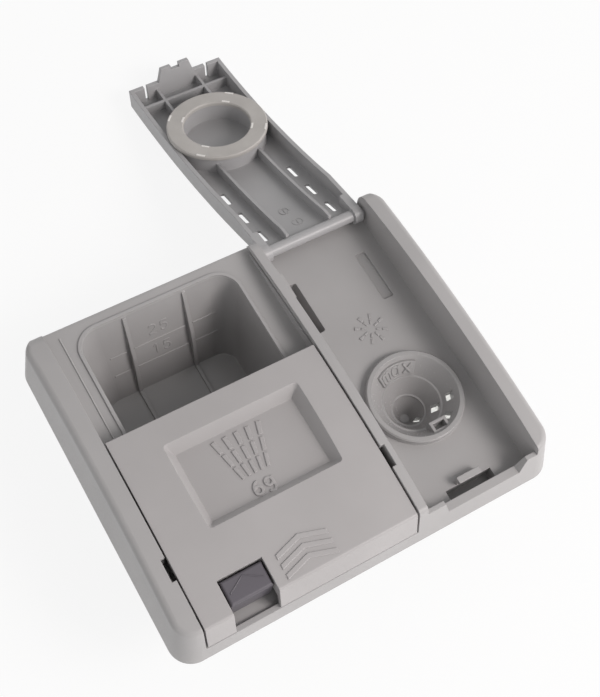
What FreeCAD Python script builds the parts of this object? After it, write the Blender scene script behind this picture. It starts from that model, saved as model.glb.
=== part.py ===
import FreeCAD, Part
import Sketcher
import math
import os
import re

# Dishwasher detergent and rinse-aid dispenser, lying on its back with its face up.
# X runs across the face, Y from the near edge to the hinge edge, Z out of the face.
# Z = 0 is the flange seat, which bears on the inner door. Sizes are in millimetres.

V = FreeCAD.Vector
# Face frame
face_width = 168  # frame width across the top edges
face_length = 137  # frame length along the rails at the top
crest_height = 24  # rail crest above the flange seat
crown_radius = 507  # radius of the crowned rail tops
crown_y = -8.8  # place of the crest along the rails
side_flare = 3.2  # outward lean of the side walls down to the seat
near_flare = 6.6  # outward lean of the near wall down to the seat
corner_radius = 8  # plan radius of the frame corners
edge_round = 2.6  # rounding of the outer top edge
end_round = 6.0  # rounding of the rails down to the hinge edge
wall = 2.2  # frame wall
seat_width = 4.5  # width of the flange seat at the near and far walls
left_rail = 8.6  # width of the left rail
mid_rail = 4.1  # width of the middle rail
right_rail = 7.3  # width of the right rail
right_bay = 53.3  # width of the rinse-aid bay
ledge_height = 13.5  # ledge round the chamber above the seat
ledge_near = -10  # near edge of the ledge
bay_floor = 5.4  # height of the bay floors
floor_wall = 2.0  # thickness of ledge and bay floors
lid_sill = 7.0  # height of the near wall under the lid skirt
bay_near = -68.6  # near inner face of the rinse-aid bay
sill_high = 16.6  # height of the near wall at the ends of the rinse-aid bay
sill_low = 10.3  # height of the near wall in the finger notch
notch_start = 10.4  # finger notch start from the middle rail
notch_width = 34.6  # finger notch width at its bottom
notch_ramp = 3.2  # finger notch ramp at its right end
notch_rise = 2.0  # finger notch ramp at its left end
rail_hollow_width = 3.2  # moulding hollow under the outer rails
rail_hollow_length = 100  # length of the moulding hollow
rail_hollow_height = 14  # depth of the moulding hollow
fixing_x = 162  # spacing of the fixing holes across
fixing_y = 120  # spacing of the fixing holes along
fixing_radius = 1.6  # radius of the fixing pilot holes
fixing_depth = 10  # depth of the fixing pilot holes

# Detergent chamber
chamber_width = 71.8  # chamber mouth across
chamber_length = 69  # chamber mouth along
chamber_far_gap = 6  # ledge beyond the chamber
chamber_radius = 9.5  # corner radius of the chamber mouth
chamber_floor = -30  # height of the chamber floor
chamber_far_slope = 15.6  # inward slope of the far chamber wall
chamber_draft = 4.6  # inward slope of the other chamber walls
tub_wall = 2.0  # chamber wall
rib_spread = 27.6  # spacing of the chamber ribs
rib_thickness = 1.6  # thickness of the chamber ribs
rib_depth = 3.0  # how far the chamber ribs stand out at half height
floor_rib_length = 22  # length of the ribs along the chamber floor
rib_top = 0.8  # how far the chamber ribs stand out at the top
rib_low = 0.9  # how far the ribs stand out at the foot and along the floor
rib_start = 1.0  # ribs begin this far below the ledge
bead_width = 1.5  # raised bead round the chamber mouth
bead_height = 0.5  # height of that bead

# Lid tracks
track_depth = 1.6  # groove depth in the rails
track_top = 2.7  # groove top below the crown
track_height = 2.0  # groove height
track_start = 5  # groove's near end behind the lid's front crease
entry_start = -48.5  # near end of the tongue entry notches
entry_length = 9.5  # length of the tongue entry notches
entry_depth = 1.8  # depth of the tongue entry notches

# Sliding lid
lid_gap = 0.8  # side gap between lid and rails
lid_drop = 0.6  # lid top below the rail crown
lid_front = -69.4  # front crease of the lid
lid_length = 80.9  # lid length from crease to back edge
lid_skin = 2.0  # lid skin
lid_side = 3.8  # depth of the lid's side flanges
lid_side_wall = 1.6  # thickness of the side flanges
skirt_gap = 0.5  # gap under the lid skirt
crease_round = 1.4  # rounding of the front crease
dish_width = 60  # pre-wash dish across
dish_length = 38  # pre-wash dish along
dish_back_gap = 11.2  # dish back edge to lid back edge
dish_shift = 2.0  # dish centre right of the lid centre
dish_depth = 5.6  # dish depth below the lid crest
dish_slope = 3.8  # inward slope of the dish sides
dish_radius = 1.8  # dish corner radius
tongue_length = 11  # length of a guide tongue
tongue_play = 0.3  # clearance of the guide tongues
tongue_front = 7.0  # front guide tongue from the lid crease
tongue_back = 2.0  # rear guide tongue from the lid's back edge
lid_turn = 6.1  # lid travel as an angle about the crown centre

# Release button
button_left = 12.0  # button notch from the lid's left edge
button_notch = 19.2  # button notch width
button_depth = 14  # button notch depth from the front crease
button_gap = 0.7  # gap round the button
button_round = 1.1  # rounding of the button's top edges
button_setback = 3.2  # button front behind the lid crease
button_drop = 0.7  # button top below the lid top
button_slope = 1.0  # fall of the button top to its front
button_plate = 3.4  # thickness of the button's top plate at its back
button_front = 3.0  # thickness of the button's front plate
button_low = 7.8  # lower edge of the button's front plate
well_floor = 13.6  # height of the shelf under the button
well_wall = 1.2  # wall of the button well
shelf_start = 7.4  # shelf under the button from the front crease
button_spring_radius = 2.0  # button spring radius
button_spring_wire = 0.3  # button spring wire radius

# Rinse-aid bay
cup_y = -22.9  # centre of the filler along the bay
cup_rim_radius = 21.1  # outer radius of the filler collar
cup_rim_height = 8.6  # height of the filler rim
collar_wall = 1.5  # collar wall
cup_play = 0.3  # gap between cup and collar
cup_lip = 1.2  # thickness of the cup lip on the collar
cup_seat = 0.1  # gap under that lip
cup_waist_radius = 13.1  # cone radius at the waist
cup_waist_height = 0.7  # height of the waist
cup_foot_radius = 7.6  # cone radius at the throat ring
cup_foot_height = -7.0  # height of the throat ring
cup_bore = 2.0  # radius of the cup tip inside
cup_tip_height = -16.0  # height of the cup tip inside
cup_step = 0.8  # steps at the waist and the throat ring
cup_wall = 1.4  # cup wall
upper_window_turn = -21  # first window of the upper cone, as an angle from the right
upper_window_step = -34  # second window of the upper cone beyond the first
upper_window_near = 14.4  # inner edge of the upper windows
upper_window_far = 16.8  # outer edge of the upper windows
upper_window_width = 3.6  # width of the upper windows
lower_window_turn = -33  # window of the lower cone, as an angle from the right
lower_window_near = 9.2  # inner edge of the lower window
lower_window_far = 12.0  # outer edge of the lower window
lower_window_width = 3.4  # width of the lower window
tip_window_turn = -62  # window of the tip, as an angle from the right
tip_window_near = 4.0  # inner edge of the tip window
tip_window_far = 6.2  # outer edge of the tip window
tip_window_width = 2.6  # width of the tip window
hood_left = -1.5  # left side of the hooded box from the cup axis
hood_width = 8.0  # width of the hooded box
hood_length = 5.4  # length of the hooded box
hood_overlap = 0.4  # how far the hooded box reaches inside the waist
hood_lift = 1.0  # foot of the hooded box above the waist
hood_drop = 1.6  # top of the hooded box below the rim
hood_wall = 1.3  # wall of the hooded box
catch_width = 22  # catch slot width
catch_length = 5.0  # catch slot length
catch_depth = 6.0  # depth of the catch slot
hook_width = 11  # catch hook width
hook_depth = 2.0  # catch hook thickness
hook_height = 9.6  # catch hook height
hook_lip = 0.8  # overhang of the catch hook
hook_inset = 0.3  # hook's face behind the slot's edge
hook_tip = 1.2  # height of the hook's lip
side_slot_width = 7.5  # floor slot beside the middle rail
side_slot_length = 26  # length of that slot
side_slot_far = 21  # that slot's far end from the hinge edge
side_slot_depth = 10.4  # depth of that slot
tab_height = 20.2  # top of the tab beside the middle rail
tab_width = 1.2  # width of that tab
tab_length = 12.5  # length of that tab
pad_recess_width = 5  # shallow recess width
pad_recess_length = 24.5  # shallow recess length
pad_recess_side = 8  # shallow recess from the right rail
pad_recess_depth = 1  # shallow recess depth

# Rinse-aid flap, drawn open about its own hinge axis
hinge_y = 63.9  # hinge axis along the rails
hinge_z = 9.8  # hinge axis height
flap_droop = 15.1  # fall of the open flap below level
flap_width = 50.3  # flap width
flap_length = 131.5  # flap length from the hinge axis
flap_radius = 400  # radius of the curved flap skin
flap_crest = 10.7  # outer skin below the hinge axis at the crest
flap_crest_y = 87.1  # place of the skin crest from the hinge axis
flap_skin = 1.4  # flap skin
flap_wall = 2.0  # flap side wall
flap_rise = 9.4  # side wall height above the outer skin
flap_trim = 3.8  # highest wall edge above the hinge axis
flap_root = 3.2  # near end of the tray inside, from the hinge axis
rib_offset = 10.9  # long ribs from the middle of the flap
flap_rib = 1.4  # rib thickness
rib_rise = 6.2  # rib height above the outer skin
cross_rib_gap = 10  # cross rib from the end wall
boss_radius = 23.4  # seal boss radius
seal_radius = 24.3  # seal ring outer radius
seal_bore = 16.1  # seal ring inner radius
seal_thickness = 2.0  # seal ring thickness
seal_gap = 0.3  # gap between seal and rim in the closed model
slot_length = 9.2  # flap slot length
slot_width = 2.2  # flap slot width
slot_pitch = 17.1  # flap slot spacing
slot_first = 12.1  # first slot centre from the hinge axis
slot_offset = 17.8  # slot rows from the middle of the flap
slit_offset = 16.8  # end wall slits from the middle
slit_width = 1.6  # end wall slit width
latch_notch = 4.5  # notch width in the latch tongue
latch_notch_depth = 2.2  # depth of that notch
latch_base = 19.2  # latch tongue width at its root
latch_tip = 15  # latch tongue width at its tip
latch_rise = 7.0  # latch tongue above the end wall
bar_radius = 2.7  # hinge bar radius
pin_radius = 2.0  # trunnion radius
pin_play = 0.05  # running clearance of the trunnions
pin_depth = 2.6  # trunnion bore depth in the rails
pin_end_play = 0.3  # trunnion end clearance
arm_radius = 4.0  # flap arm radius about the hinge axis
arm_width = 4.0  # flap arm width
arm_reach = 10.5  # length of the arms along the flap walls

# Rear pieces
rear_depth = 34  # deepest rear face below the flange seat
tank_gap = 3.0  # tank wall from the bay walls
tank_near = -55  # near end of the tank
tank_far = 56  # far end of the tank
tank_step_y = 18  # where the tank steps clear of the side slot
tank_step_x = 11.6  # depth of that step from the middle rail
tank_wall = 1.8  # tank wall
tank_radius = 3.6  # tank corner radius
seal_sheet = 1.0  # thickness of the sheet gaskets
seal_inset = 0.2  # tank gasket inside the tank's edge
gasket_inset = 1.2  # flange gasket from the flange edge
gasket_width = 2.4  # flange gasket width
gasket_play = 0.2  # gap beside the gasket in its groove
carrier_left = -68  # left side of the actuator carrier
carrier_right = 13.5  # right side of the actuator carrier
carrier_near = -64  # near side of the actuator carrier
carrier_far = -14  # far side of the actuator carrier
carrier_wall = 2.0  # carrier wall
post_radius = 3.0  # radius of the rear screw posts
post_gap = 0.6  # gap between a screw post and the wall beside it
pilot_depth = 8  # pilot hole depth in the screw posts
carrier_seat = -10  # lower end of the carrier's screw posts
tank_seat = -6  # lower end of the tank's screw posts
carrier_margin = 8  # carrier screws from the carrier's ends
tank_post_gap = 4.5  # tank screws beyond the tank wall
tank_post_side = 8.5  # tank screws from the bay walls
ear_sheet = 2.0  # thickness of the screw ears
ear_half = 4.0  # half width of the screw ears
screw_radius = 1.4  # screw shank radius
screw_play = 0.05  # clearance of a shank in its pilot hole
screw_clear = 0.3  # clearance of a shank in an ear
screw_head = 2.6  # screw head radius
screw_head_height = 1.7  # screw head height
yoke_length = 24  # magnet yoke length
yoke_width = 20  # magnet yoke width
yoke_height = 22  # magnet yoke height
yoke_sheet = 1.6  # magnet yoke sheet
yoke_screw = 7.3  # yoke screws from the magnet axis
coil_radius = 9.2  # bobbin flange radius
coil_bore = 4.4  # bobbin bore radius
coil_flange = 1.4  # bobbin flange thickness
winding_drop = 0.8  # winding below the bobbin flanges
block_length = 5.0  # terminal block length along the axis
block_half = 8.0  # half width of the terminal block
block_drop = 2.6  # terminal block below the bobbin
plunger_radius = 4.0  # plunger radius
core_start = 6.0  # inner end of the plungers from the yoke's back
rod_radius = 2.2  # plunger rod radius
rod_play = 0.4  # clearance round the plunger rods
collar_radius = 5.4  # spring collar radius on the rods
collar_sheet = 1.2  # spring collar thickness
latch_left = -65.5  # back of the latch magnet
latch_y = -26.2  # latch magnet axis along
latch_core_out = 2.0  # latch plunger beyond its yoke at rest
latch_collar = 5.0  # latch spring collar from the yoke
valve_left = -22  # back of the valve magnet
valve_y = -48  # valve magnet axis along
valve_core_in = 1.5  # valve plunger inside its yoke's face at rest
valve_collar = 1.5  # valve spring collar from the yoke
valve_gap = 0.3  # gap between valve head and tank wall at rest
valve_head_radius = 5.0  # valve head radius
valve_head_sheet = 2.6  # valve head thickness
spring_wire = 0.45  # spring wire radius
spring_gap = 0.3  # gap between a spring and its seat
lever_x = -30  # lever pivot across
lever_z = -3.2  # lever pivot height
lever_half = 2.0  # half thickness of the lever's push arm
lever_boss = 2.8  # lever boss radius
lever_width = 5.0  # lever width
lever_play = 0.4  # gap between the lever and its ears
lever_pin_radius = 1.5  # lever pin radius
tip_gap = 0.35  # gap between plunger tip and lever at rest
arm_low = 2.8  # lower edge of the lifting arm below the pivot
arm_high = 0.6  # upper edge of the lifting arm above the pivot
tooth_reach = 14  # far side of the latch tooth from the pivot
tooth_width = 3.2  # latch tooth width
tooth_height = 10.4  # latch tooth height at rest
tooth_y = -21.3  # far face of the latch tooth
tooth_depth = 3.4  # latch tooth thickness
tooth_swing = 4.2  # room for the tooth's swing
tooth_play = 0.7  # gap round the latch tooth
blade_width = 6.3  # terminal blade width
blade_sheet = 0.8  # terminal blade thickness
blade_length = 8  # terminal blade length
blade_offset = 4.5  # terminal blades from the magnet axis

sizes = {name: number for name, number in globals().items() if isinstance(number, (int, float))}
doc = FreeCAD.newDocument("dispenser")
sheet = doc.addObject("Spreadsheet::Sheet", "Sizes")
for row, (name, number) in enumerate(sizes.items(), 1):
    sheet.set(f"A{row}", name)
    sheet.set(f"B{row}", str(number))
    sheet.setAlias(f"B{row}", name)
doc.recompute()


def bind(expression):
    """Point every size named in an expression at its cell in the sheet."""
    def cell(match):
        word = match.group(0)
        return "Sizes." + word if word in sizes else word
    return re.sub(r"[a-z][a-z0-9_]*", cell, str(expression))


def value(expression):
    """Work an expression out as a plain number."""
    return float(sheet.evalExpression(bind(expression)))


# Places that several pieces share, as expressions of the sizes
LEFT_X = "(left_rail - face_width / 2)"
RIGHT_X = "(face_width / 2 - right_rail)"
MID_RIGHT = "(face_width / 2 - right_rail - right_bay)"
MID_LEFT = "(face_width / 2 - right_rail - right_bay - mid_rail)"
BAY_X = "(face_width / 2 - right_rail - right_bay / 2)"
FAR_Y = "(face_length / 2)"
NEAR_SEAT_Y = "(-face_length / 2 - near_flare)"
CROWN_Z = "(crest_height - crown_radius)"
CLEAR = 40


def near_face(height):
    """Y of the leaning near face at a height."""
    return f"({NEAR_SEAT_Y} + near_flare * ({height}) / crest_height)"


def crown(y, drop="0"):
    """Height of the crowned top at a place along the rails, less a drop."""
    return f"({CROWN_Z} + sqrt((crown_radius - ({drop}))^2 - ({y} - crown_y)^2))"


LID_LEFT = f"({LEFT_X} + lid_gap)"
LID_RIGHT = f"({MID_LEFT} - lid_gap)"
LID_BACK = "(lid_front + lid_length)"
CHAMBER_X = f"(({LEFT_X} + {MID_LEFT}) / 2)"
MAGNET_Z = "(bay_floor - floor_wall - carrier_wall - yoke_height / 2)"
BUTTON_BACK = "(lid_front + button_depth - button_gap)"
BUTTON_TOP = f"({crown(BUTTON_BACK, 'lid_drop')} - button_drop)"
SHELF_Y = "(lid_front + shelf_start)"
POST_LEFT = f"({LEFT_X} + post_radius + post_gap)"
POST_RIGHT = f"({MID_LEFT} - post_radius + post_gap)"
CARRIER_POSTS = [(x, y) for x in (POST_LEFT, POST_RIGHT)
                 for y in ("(carrier_near + carrier_margin)", "(carrier_far - carrier_margin)")]
STEP_X = f"({MID_RIGHT} + tank_step_x)"
TANK_POSTS = [(f"({MID_RIGHT} + tank_post_side)", "(tank_near - tank_post_gap)"),
              (f"({RIGHT_X} - tank_post_side)", "(tank_near - tank_post_gap)"),
              (f"({RIGHT_X} - tank_post_side)", "(tank_far + tank_post_gap)"),
              (f"({STEP_X} - tank_post_gap)", "(tank_far - tank_post_gap)")]
TOOTH_FAR = "(lever_x + tooth_reach)"


class Piece:
    """One PartDesign body with short verbs for its features."""

    def __init__(self, label):
        self.body = doc.addObject("PartDesign::Body", label)
        self.body.Label = label

    def sketch(self, plane, at="0"):
        made = self.body.newObject("Sketcher::SketchObject", "Sketch")
        role = plane + "_Plane"
        support = next(o for o in self.body.Origin.OriginFeatures if o.Role == role)
        made.AttachmentSupport = [(support, "")]
        made.MapMode = "FlatFace"
        offset = f"-({at})" if plane == "XZ" else f"({at})"
        made.setExpression("AttachmentOffset.Base.z", bind(offset))
        made.addProperty("App::PropertyString", "PlaneName")
        made.PlaneName = plane
        return made

    def feature(self, kind, sketch, length, towards):
        made = self.body.newObject("PartDesign::" + kind, kind)
        made.Profile = sketch
        made.setExpression("Length", bind(length))
        against = sketch.PlaneName == "XZ"
        if kind == "Pocket":
            against = not against
        made.Reversed = (towards == "-") != against
        sketch.Visibility = False
        return made

    def pad(self, sketch, length, towards="+"):
        return self.feature("Pad", sketch, length, towards)

    def pocket(self, sketch, length, towards="-"):
        return self.feature("Pocket", sketch, length, towards)

    def loft(self, first, second, cut=False):
        kind = "SubtractiveLoft" if cut else "AdditiveLoft"
        made = self.body.newObject("PartDesign::" + kind, kind)
        made.Profile = first
        made.Sections = [second]
        made.Ruled = True
        return made

    def turn(self, sketch, axis="V_Axis"):
        made = self.body.newObject("PartDesign::Revolution", "Revolution")
        made.Profile = sketch
        made.ReferenceAxis = (sketch, [axis])
        made.Angle = 360
        return made

    def polar(self, feature, count, angle):
        made = self.body.newObject("PartDesign::PolarPattern", "PolarPattern")
        made.Originals = [feature]
        axis = next(o for o in self.body.Origin.OriginFeatures if o.Role == "Z_Axis")
        made.Axis = (axis, [""])
        made.Angle = angle
        made.Occurrences = count
        self.body.Tip = made
        return made

    def row(self, feature, axis_role, count, length):
        made = self.body.newObject("PartDesign::LinearPattern", "LinearPattern")
        made.Originals = [feature]
        axis = next(o for o in self.body.Origin.OriginFeatures if o.Role == axis_role)
        made.Direction = (axis, [""])
        made.setExpression("Length", bind(length))
        made.Occurrences = count
        self.body.Tip = made
        return made

    def fillet(self, radius, wanted):
        doc.recompute()
        tip = self.body.Tip
        names = [f"Edge{i + 1}" for i, edge in enumerate(tip.Shape.Edges) if wanted(edge)]
        made = self.body.newObject("PartDesign::Fillet", "Fillet")
        made.Base = (tip, names)
        made.setExpression("Radius", bind(radius))
        return made

    def place(self, x, y, z, axis=(1, 0, 0), angle="0"):
        base = f"create(<<vector>>; {bind(x)}; {bind(y)}; {bind(z)})"
        about = "create(<<vector>>; {}; {}; {})".format(*axis)
        turn = f"create(<<rotation>>; {about}; {bind(angle)})"
        self.body.setExpression("Placement", f"create(<<placement>>; {base}; {turn})")


def outline(sketch, corners):
    """Closed outline of lines and arcs. A corner is (x, y) or (x, y, radius): with a radius, the
    stretch to the next corner is an arc, turning left for plus and right for minus."""
    start = sketch.GeometryCount
    points = [V(value(c[0]), value(c[1]), 0) for c in corners]
    count = len(corners)
    for i in range(count):
        a = points[i]
        b = points[(i + 1) % count]
        if len(corners[i]) == 2:
            sketch.addGeometry(Part.LineSegment(a, b), False)
            continue
        radius = value(corners[i][2])
        half = (b - a) * 0.5
        side = V(-half.y, half.x, 0).normalize()
        reach = math.sqrt(max(radius * radius - half.Length ** 2, 0))
        centre = a + half + side * math.copysign(reach, radius)
        first, last = (a, b) if radius > 0 else (b, a)
        angles = [math.atan2(p.y - centre.y, p.x - centre.x) for p in (first, last)]
        circle = Part.Circle(centre, V(0, 0, 1), abs(radius))
        sketch.addGeometry(Part.ArcOfCircle(circle, *angles), False)

    def ends(i):
        backwards = len(corners[i]) == 3 and value(corners[i][2]) < 0
        return (2, 1) if backwards else (1, 2)

    for i in range(count):
        following = (i + 1) % count
        joint = (start + i, ends(i)[1], start + following, ends(following)[0])
        sketch.addConstraint(Sketcher.Constraint("Coincident", *joint))
    for i, corner in enumerate(corners):
        here = (start + i, ends(i)[0])
        for kind, part in (("DistanceX", 0), ("DistanceY", 1)):
            rule = Sketcher.Constraint(kind, -1, 1, *here, value(corner[part]))
            index = sketch.addConstraint(rule)
            sketch.setExpression(f"Constraints[{index}]", bind(corner[part]))
        if len(corner) == 3:
            index = sketch.addConstraint(Sketcher.Constraint("Radius", start + i, abs(value(corner[2]))))
            sketch.setExpression(f"Constraints[{index}]", bind(f"abs({corner[2]})"))
    return sketch


def rectangle(sketch, x0, y0, x1, y1):
    return outline(sketch, [(x0, y0), (x1, y0), (x1, y1), (x0, y1)])


def rounded(sketch, x0, y0, x1, y1, radius):
    """Rectangle with four rounded corners."""
    left, right = f"({x0}) + ({radius})", f"({x1}) - ({radius})"
    low, high = f"({y0}) + ({radius})", f"({y1}) - ({radius})"
    return outline(sketch, [(left, y0), (right, y0, radius), (x1, low), (x1, high, radius),
                            (right, y1), (left, y1, radius), (x0, high), (x0, low, radius)])


def circle(sketch, x, y, radius):
    index = sketch.addGeometry(Part.Circle(V(value(x), value(y), 0), V(0, 0, 1), value(radius)), False)
    for kind, wanted in (("DistanceX", x), ("DistanceY", y)):
        rule = sketch.addConstraint(Sketcher.Constraint(kind, -1, 1, index, 3, value(wanted)))
        sketch.setExpression(f"Constraints[{rule}]", bind(wanted))
    rule = sketch.addConstraint(Sketcher.Constraint("Radius", index, value(radius)))
    sketch.setExpression(f"Constraints[{rule}]", bind(radius))
    return sketch


def crown_band(sketch, y0, y1, top, bottom):
    """Band between two arcs that share the crown's centre, each given as a drop below the crown."""
    return outline(sketch, [(y1, crown(y1, top), f"crown_radius - ({top})"), (y0, crown(y0, top)),
                            (y0, crown(y0, bottom), f"-(crown_radius - ({bottom}))"),
                            (y1, crown(y1, bottom))])


def seat_loop(sketch, inset):
    """Rounded loop on the flange seat at a distance inside its edge."""
    half = "(face_width / 2 + side_flare)"
    return rounded(sketch, f"-{half} + {inset}", f"{NEAR_SEAT_Y} + {inset}", f"{half} - {inset}",
                   f"{FAR_Y} - {inset}", f"corner_radius + side_flare / 2 - {inset}")


def tooth_slot(sketch):
    """Slot that lets the latch tooth rise on its swing."""
    return rectangle(sketch, f"{TOOTH_FAR} - tooth_width - tooth_swing", "tooth_y - tooth_depth - tooth_play",
                     f"{TOOTH_FAR} + tooth_play", "tooth_y + tooth_play")


def make_housing():
    part = Piece("housing")
    # Flared frame: a ruled loft from the seat outline to the smaller top outline
    half = "face_width / 2"
    seat = rounded(part.sketch("XY"), f"-{half} - side_flare", NEAR_SEAT_Y, f"{half} + side_flare",
                   FAR_Y, "corner_radius + side_flare / 2")
    top = rounded(part.sketch("XY", "crest_height"), f"-{half}", "-face_length / 2", half, FAR_Y,
                  "corner_radius")
    part.loft(seat, top)
    # Crowned top, with its outer edge rounded
    side = f"(face_width / 2 + side_flare + {CLEAR})"
    before = f"({NEAR_SEAT_Y} - {CLEAR})"
    beyond = f"({FAR_Y} + {CLEAR})"
    over = f"(crest_height + {CLEAR})"
    above = part.sketch("YZ", side)
    outline(above, [(beyond, crown(beyond), "crown_radius"), (before, crown(before)), (before, over), (beyond, over)])
    part.pocket(above, f"2 * {side}")
    radius = value("crown_radius")

    def on_crown(edge):
        middle = edge.valueAt((edge.FirstParameter + edge.LastParameter) / 2)
        gap = math.hypot(middle.y - value("crown_y"), middle.z - value(CROWN_Z)) - radius
        return abs(gap) < 0.01
    part.fillet("edge_round", on_crown)
    # The rails bend down to the hinge edge
    inner = "(crown_radius - end_round)"
    bend = f"({FAR_Y} - end_round - crown_y)"
    end = f"({CROWN_Z} + sqrt({inner}^2 - {bend}^2))"
    meet = f"(crown_y + {bend} * crown_radius / {inner})"
    ends = part.sketch("YZ", side)
    outline(ends, [(FAR_Y, end, "end_round"), (meet, crown(meet)), (meet, over), (beyond, over), (beyond, end)])
    part.pocket(ends, f"2 * {side}")

    # Left bay: ledge at the far half, lower floor at the near half, low sill under the lid skirt
    ledge = part.sketch("XY", "ledge_height")
    rectangle(ledge, LEFT_X, "ledge_near", MID_LEFT, f"{FAR_Y} + {CLEAR}")
    part.pocket(ledge, CLEAR, "+")
    near_bay = part.sketch("XY", "bay_floor")
    rectangle(near_bay, LEFT_X, f"{near_face('lid_sill')} + wall", MID_LEFT, "ledge_near")
    part.pocket(near_bay, CLEAR, "+")
    sill = part.sketch("XY", "lid_sill")
    rectangle(sill, LEFT_X, f"{NEAR_SEAT_Y} - {CLEAR}", MID_LEFT, "ledge_near")
    part.pocket(sill, CLEAR, "+")
    # Rinse-aid bay, open at the hinge edge, with a finger notch in its near wall
    bay = part.sketch("XY", "bay_floor")
    rectangle(bay, MID_RIGHT, "bay_near", RIGHT_X, f"{FAR_Y} + {CLEAR}")
    part.pocket(bay, CLEAR, "+")
    notch = part.sketch("XZ", "bay_near + wall")
    dip = f"{MID_RIGHT} + notch_start"
    rise = f"{dip} + notch_width"
    outline(notch, [(MID_RIGHT, "sill_high"), (f"{dip} - notch_rise", "sill_high"), (dip, "sill_low"),
                    (rise, "sill_low"), (f"{rise} + notch_ramp", "sill_high"), (RIGHT_X, "sill_high"),
                    (RIGHT_X, over), (MID_RIGHT, over)])
    part.pocket(notch, CLEAR, "-")

    # Moulding hollows from the rear
    under = part.sketch("XY")
    rectangle(under, LEFT_X, "ledge_near + wall", MID_LEFT, f"{FAR_Y} - seat_width")
    part.pocket(under, "ledge_height - floor_wall", "+")
    under = part.sketch("XY")
    rectangle(under, LEFT_X, f"{NEAR_SEAT_Y} + seat_width", MID_LEFT, "ledge_near")
    part.pocket(under, "bay_floor - floor_wall", "+")
    under = part.sketch("XY")
    rectangle(under, MID_RIGHT, f"{NEAR_SEAT_Y} + seat_width", RIGHT_X, f"{FAR_Y} - seat_width")
    part.pocket(under, "bay_floor - floor_wall", "+")
    for inner, outward in ((LEFT_X, "-"), (RIGHT_X, "")):
        hollow = part.sketch("XY")
        near = f"{inner} + {outward}1 * wall"
        far = f"{near} + {outward}1 * rail_hollow_width"
        sides = (far, near) if outward else (near, far)
        rectangle(hollow, sides[0], "-rail_hollow_length / 2", sides[1], "rail_hollow_length / 2")
        part.pocket(hollow, "rail_hollow_height", "+")

    # Detergent chamber: a drafted tub whose far wall slopes in
    far = f"({FAR_Y} - chamber_far_gap)"
    near = f"({far} - chamber_length)"
    left = f"({CHAMBER_X} - chamber_width / 2)"
    right = f"({CHAMBER_X} + chamber_width / 2)"

    def tub(level, grow, slope):
        return rounded(part.sketch("XY", level),
                       f"{left} + {slope} * chamber_draft - {grow}",
                       f"{near} + {slope} * chamber_draft - {grow}",
                       f"{right} - {slope} * chamber_draft + {grow}",
                       f"{far} - {slope} * chamber_far_slope + {grow}",
                       f"chamber_radius - {slope} * 2 + {grow}")
    part.loft(tub("ledge_height", "tub_wall", "0"), tub("chamber_floor - tub_wall", "tub_wall", "1"))
    part.pad(tub("ledge_height - floor_wall / 2", "bead_width", "0"), "floor_wall / 2 + bead_height", "+")
    part.pocket(tub("ledge_height", "0", "0"), CLEAR, "+")
    part.loft(tub("ledge_height", "0", "0"), tub("chamber_floor", "0", "1"), cut=True)
    # Two fins run down the sloping far wall and on as low ribs along the floor
    depth = "(ledge_height - chamber_floor)"
    foot = f"({far} - chamber_far_slope)"
    lean = f"(chamber_far_slope * rib_start / {depth})"
    first = "(ledge_height - rib_start)"
    low = "(chamber_floor - tub_wall / 2)"
    for side in ("-", "+"):
        rib = part.sketch("YZ", f"{CHAMBER_X} {side} rib_spread / 2 - rib_thickness / 2")
        outline(rib, [(f"{far} - {lean} + tub_wall / 2", first), (f"{far} - {lean} - rib_top", first),
                      (f"{far} - chamber_far_slope / 2 - rib_depth", f"chamber_floor + {depth} / 2"),
                      (f"{foot} - rib_low", "chamber_floor + rib_low"),
                      (f"{foot} - floor_rib_length", "chamber_floor + rib_low"),
                      (f"{foot} - floor_rib_length - rib_low", low), (f"{foot} + tub_wall / 2", low)])
        part.pad(rib, "rib_thickness", "+")

    # Curved lid tracks in the rails, and the notches where the tongues drop in
    track = part.sketch("YZ", f"{MID_LEFT} + track_depth")
    crown_band(track, "lid_front + track_start", f"{FAR_Y} + {CLEAR}", "track_top", "track_top + track_height")
    part.pocket(track, f"{MID_LEFT} - {LEFT_X} + 2 * track_depth", "-")
    entry = part.sketch("XY", "ledge_height")
    rectangle(entry, f"{LEFT_X} - entry_depth", "entry_start", f"{MID_LEFT} + entry_depth",
              "entry_start + entry_length")
    part.pocket(entry, CLEAR, "+")

    # Filler collar and its throat
    floor = "(bay_floor - floor_wall)"
    inlay = "(bay_floor - floor_wall / 2)"
    collar = circle(part.sketch("XY", inlay), BAY_X, "cup_y", "cup_rim_radius")
    part.pad(collar, f"cup_rim_height - cup_lip - cup_seat - {inlay}", "+")
    throat = circle(part.sketch("XY", "crest_height"), BAY_X, "cup_y", "cup_rim_radius - collar_wall")
    part.pocket(throat, "crest_height", "-")
    # Catch slot with its hook, a blind pocket in a thicker part of the floor
    base = "(bay_near + catch_length)"
    sides = (f"({BAY_X} - catch_width / 2", f"({BAY_X} + catch_width / 2")
    block = part.sketch("XY", inlay)
    rectangle(block, f"{sides[0]} - wall)", f"{NEAR_SEAT_Y} + seat_width / 2", f"{sides[1]} + wall)", f"{base} + wall")
    part.pad(block, f"{inlay} - bay_floor + catch_depth + wall", "-")
    catch = part.sketch("XY", "bay_floor")
    rectangle(catch, f"{sides[0]})", "bay_near", f"{sides[1]})", base)
    part.pocket(catch, "catch_depth", "-")
    hook = part.sketch("YZ", f"{BAY_X} - hook_width / 2")
    outline(hook, [(f"{base} + hook_inset", inlay), (f"{base} + hook_depth", inlay),
                   (f"{base} + hook_depth", "hook_height"), (f"{base} - hook_lip", "hook_height"),
                   (f"{base} - hook_lip", "hook_height - hook_tip"),
                   (f"{base} + hook_inset", "hook_height - hook_tip - hook_lip")])
    part.pad(hook, "hook_width", "+")
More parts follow.
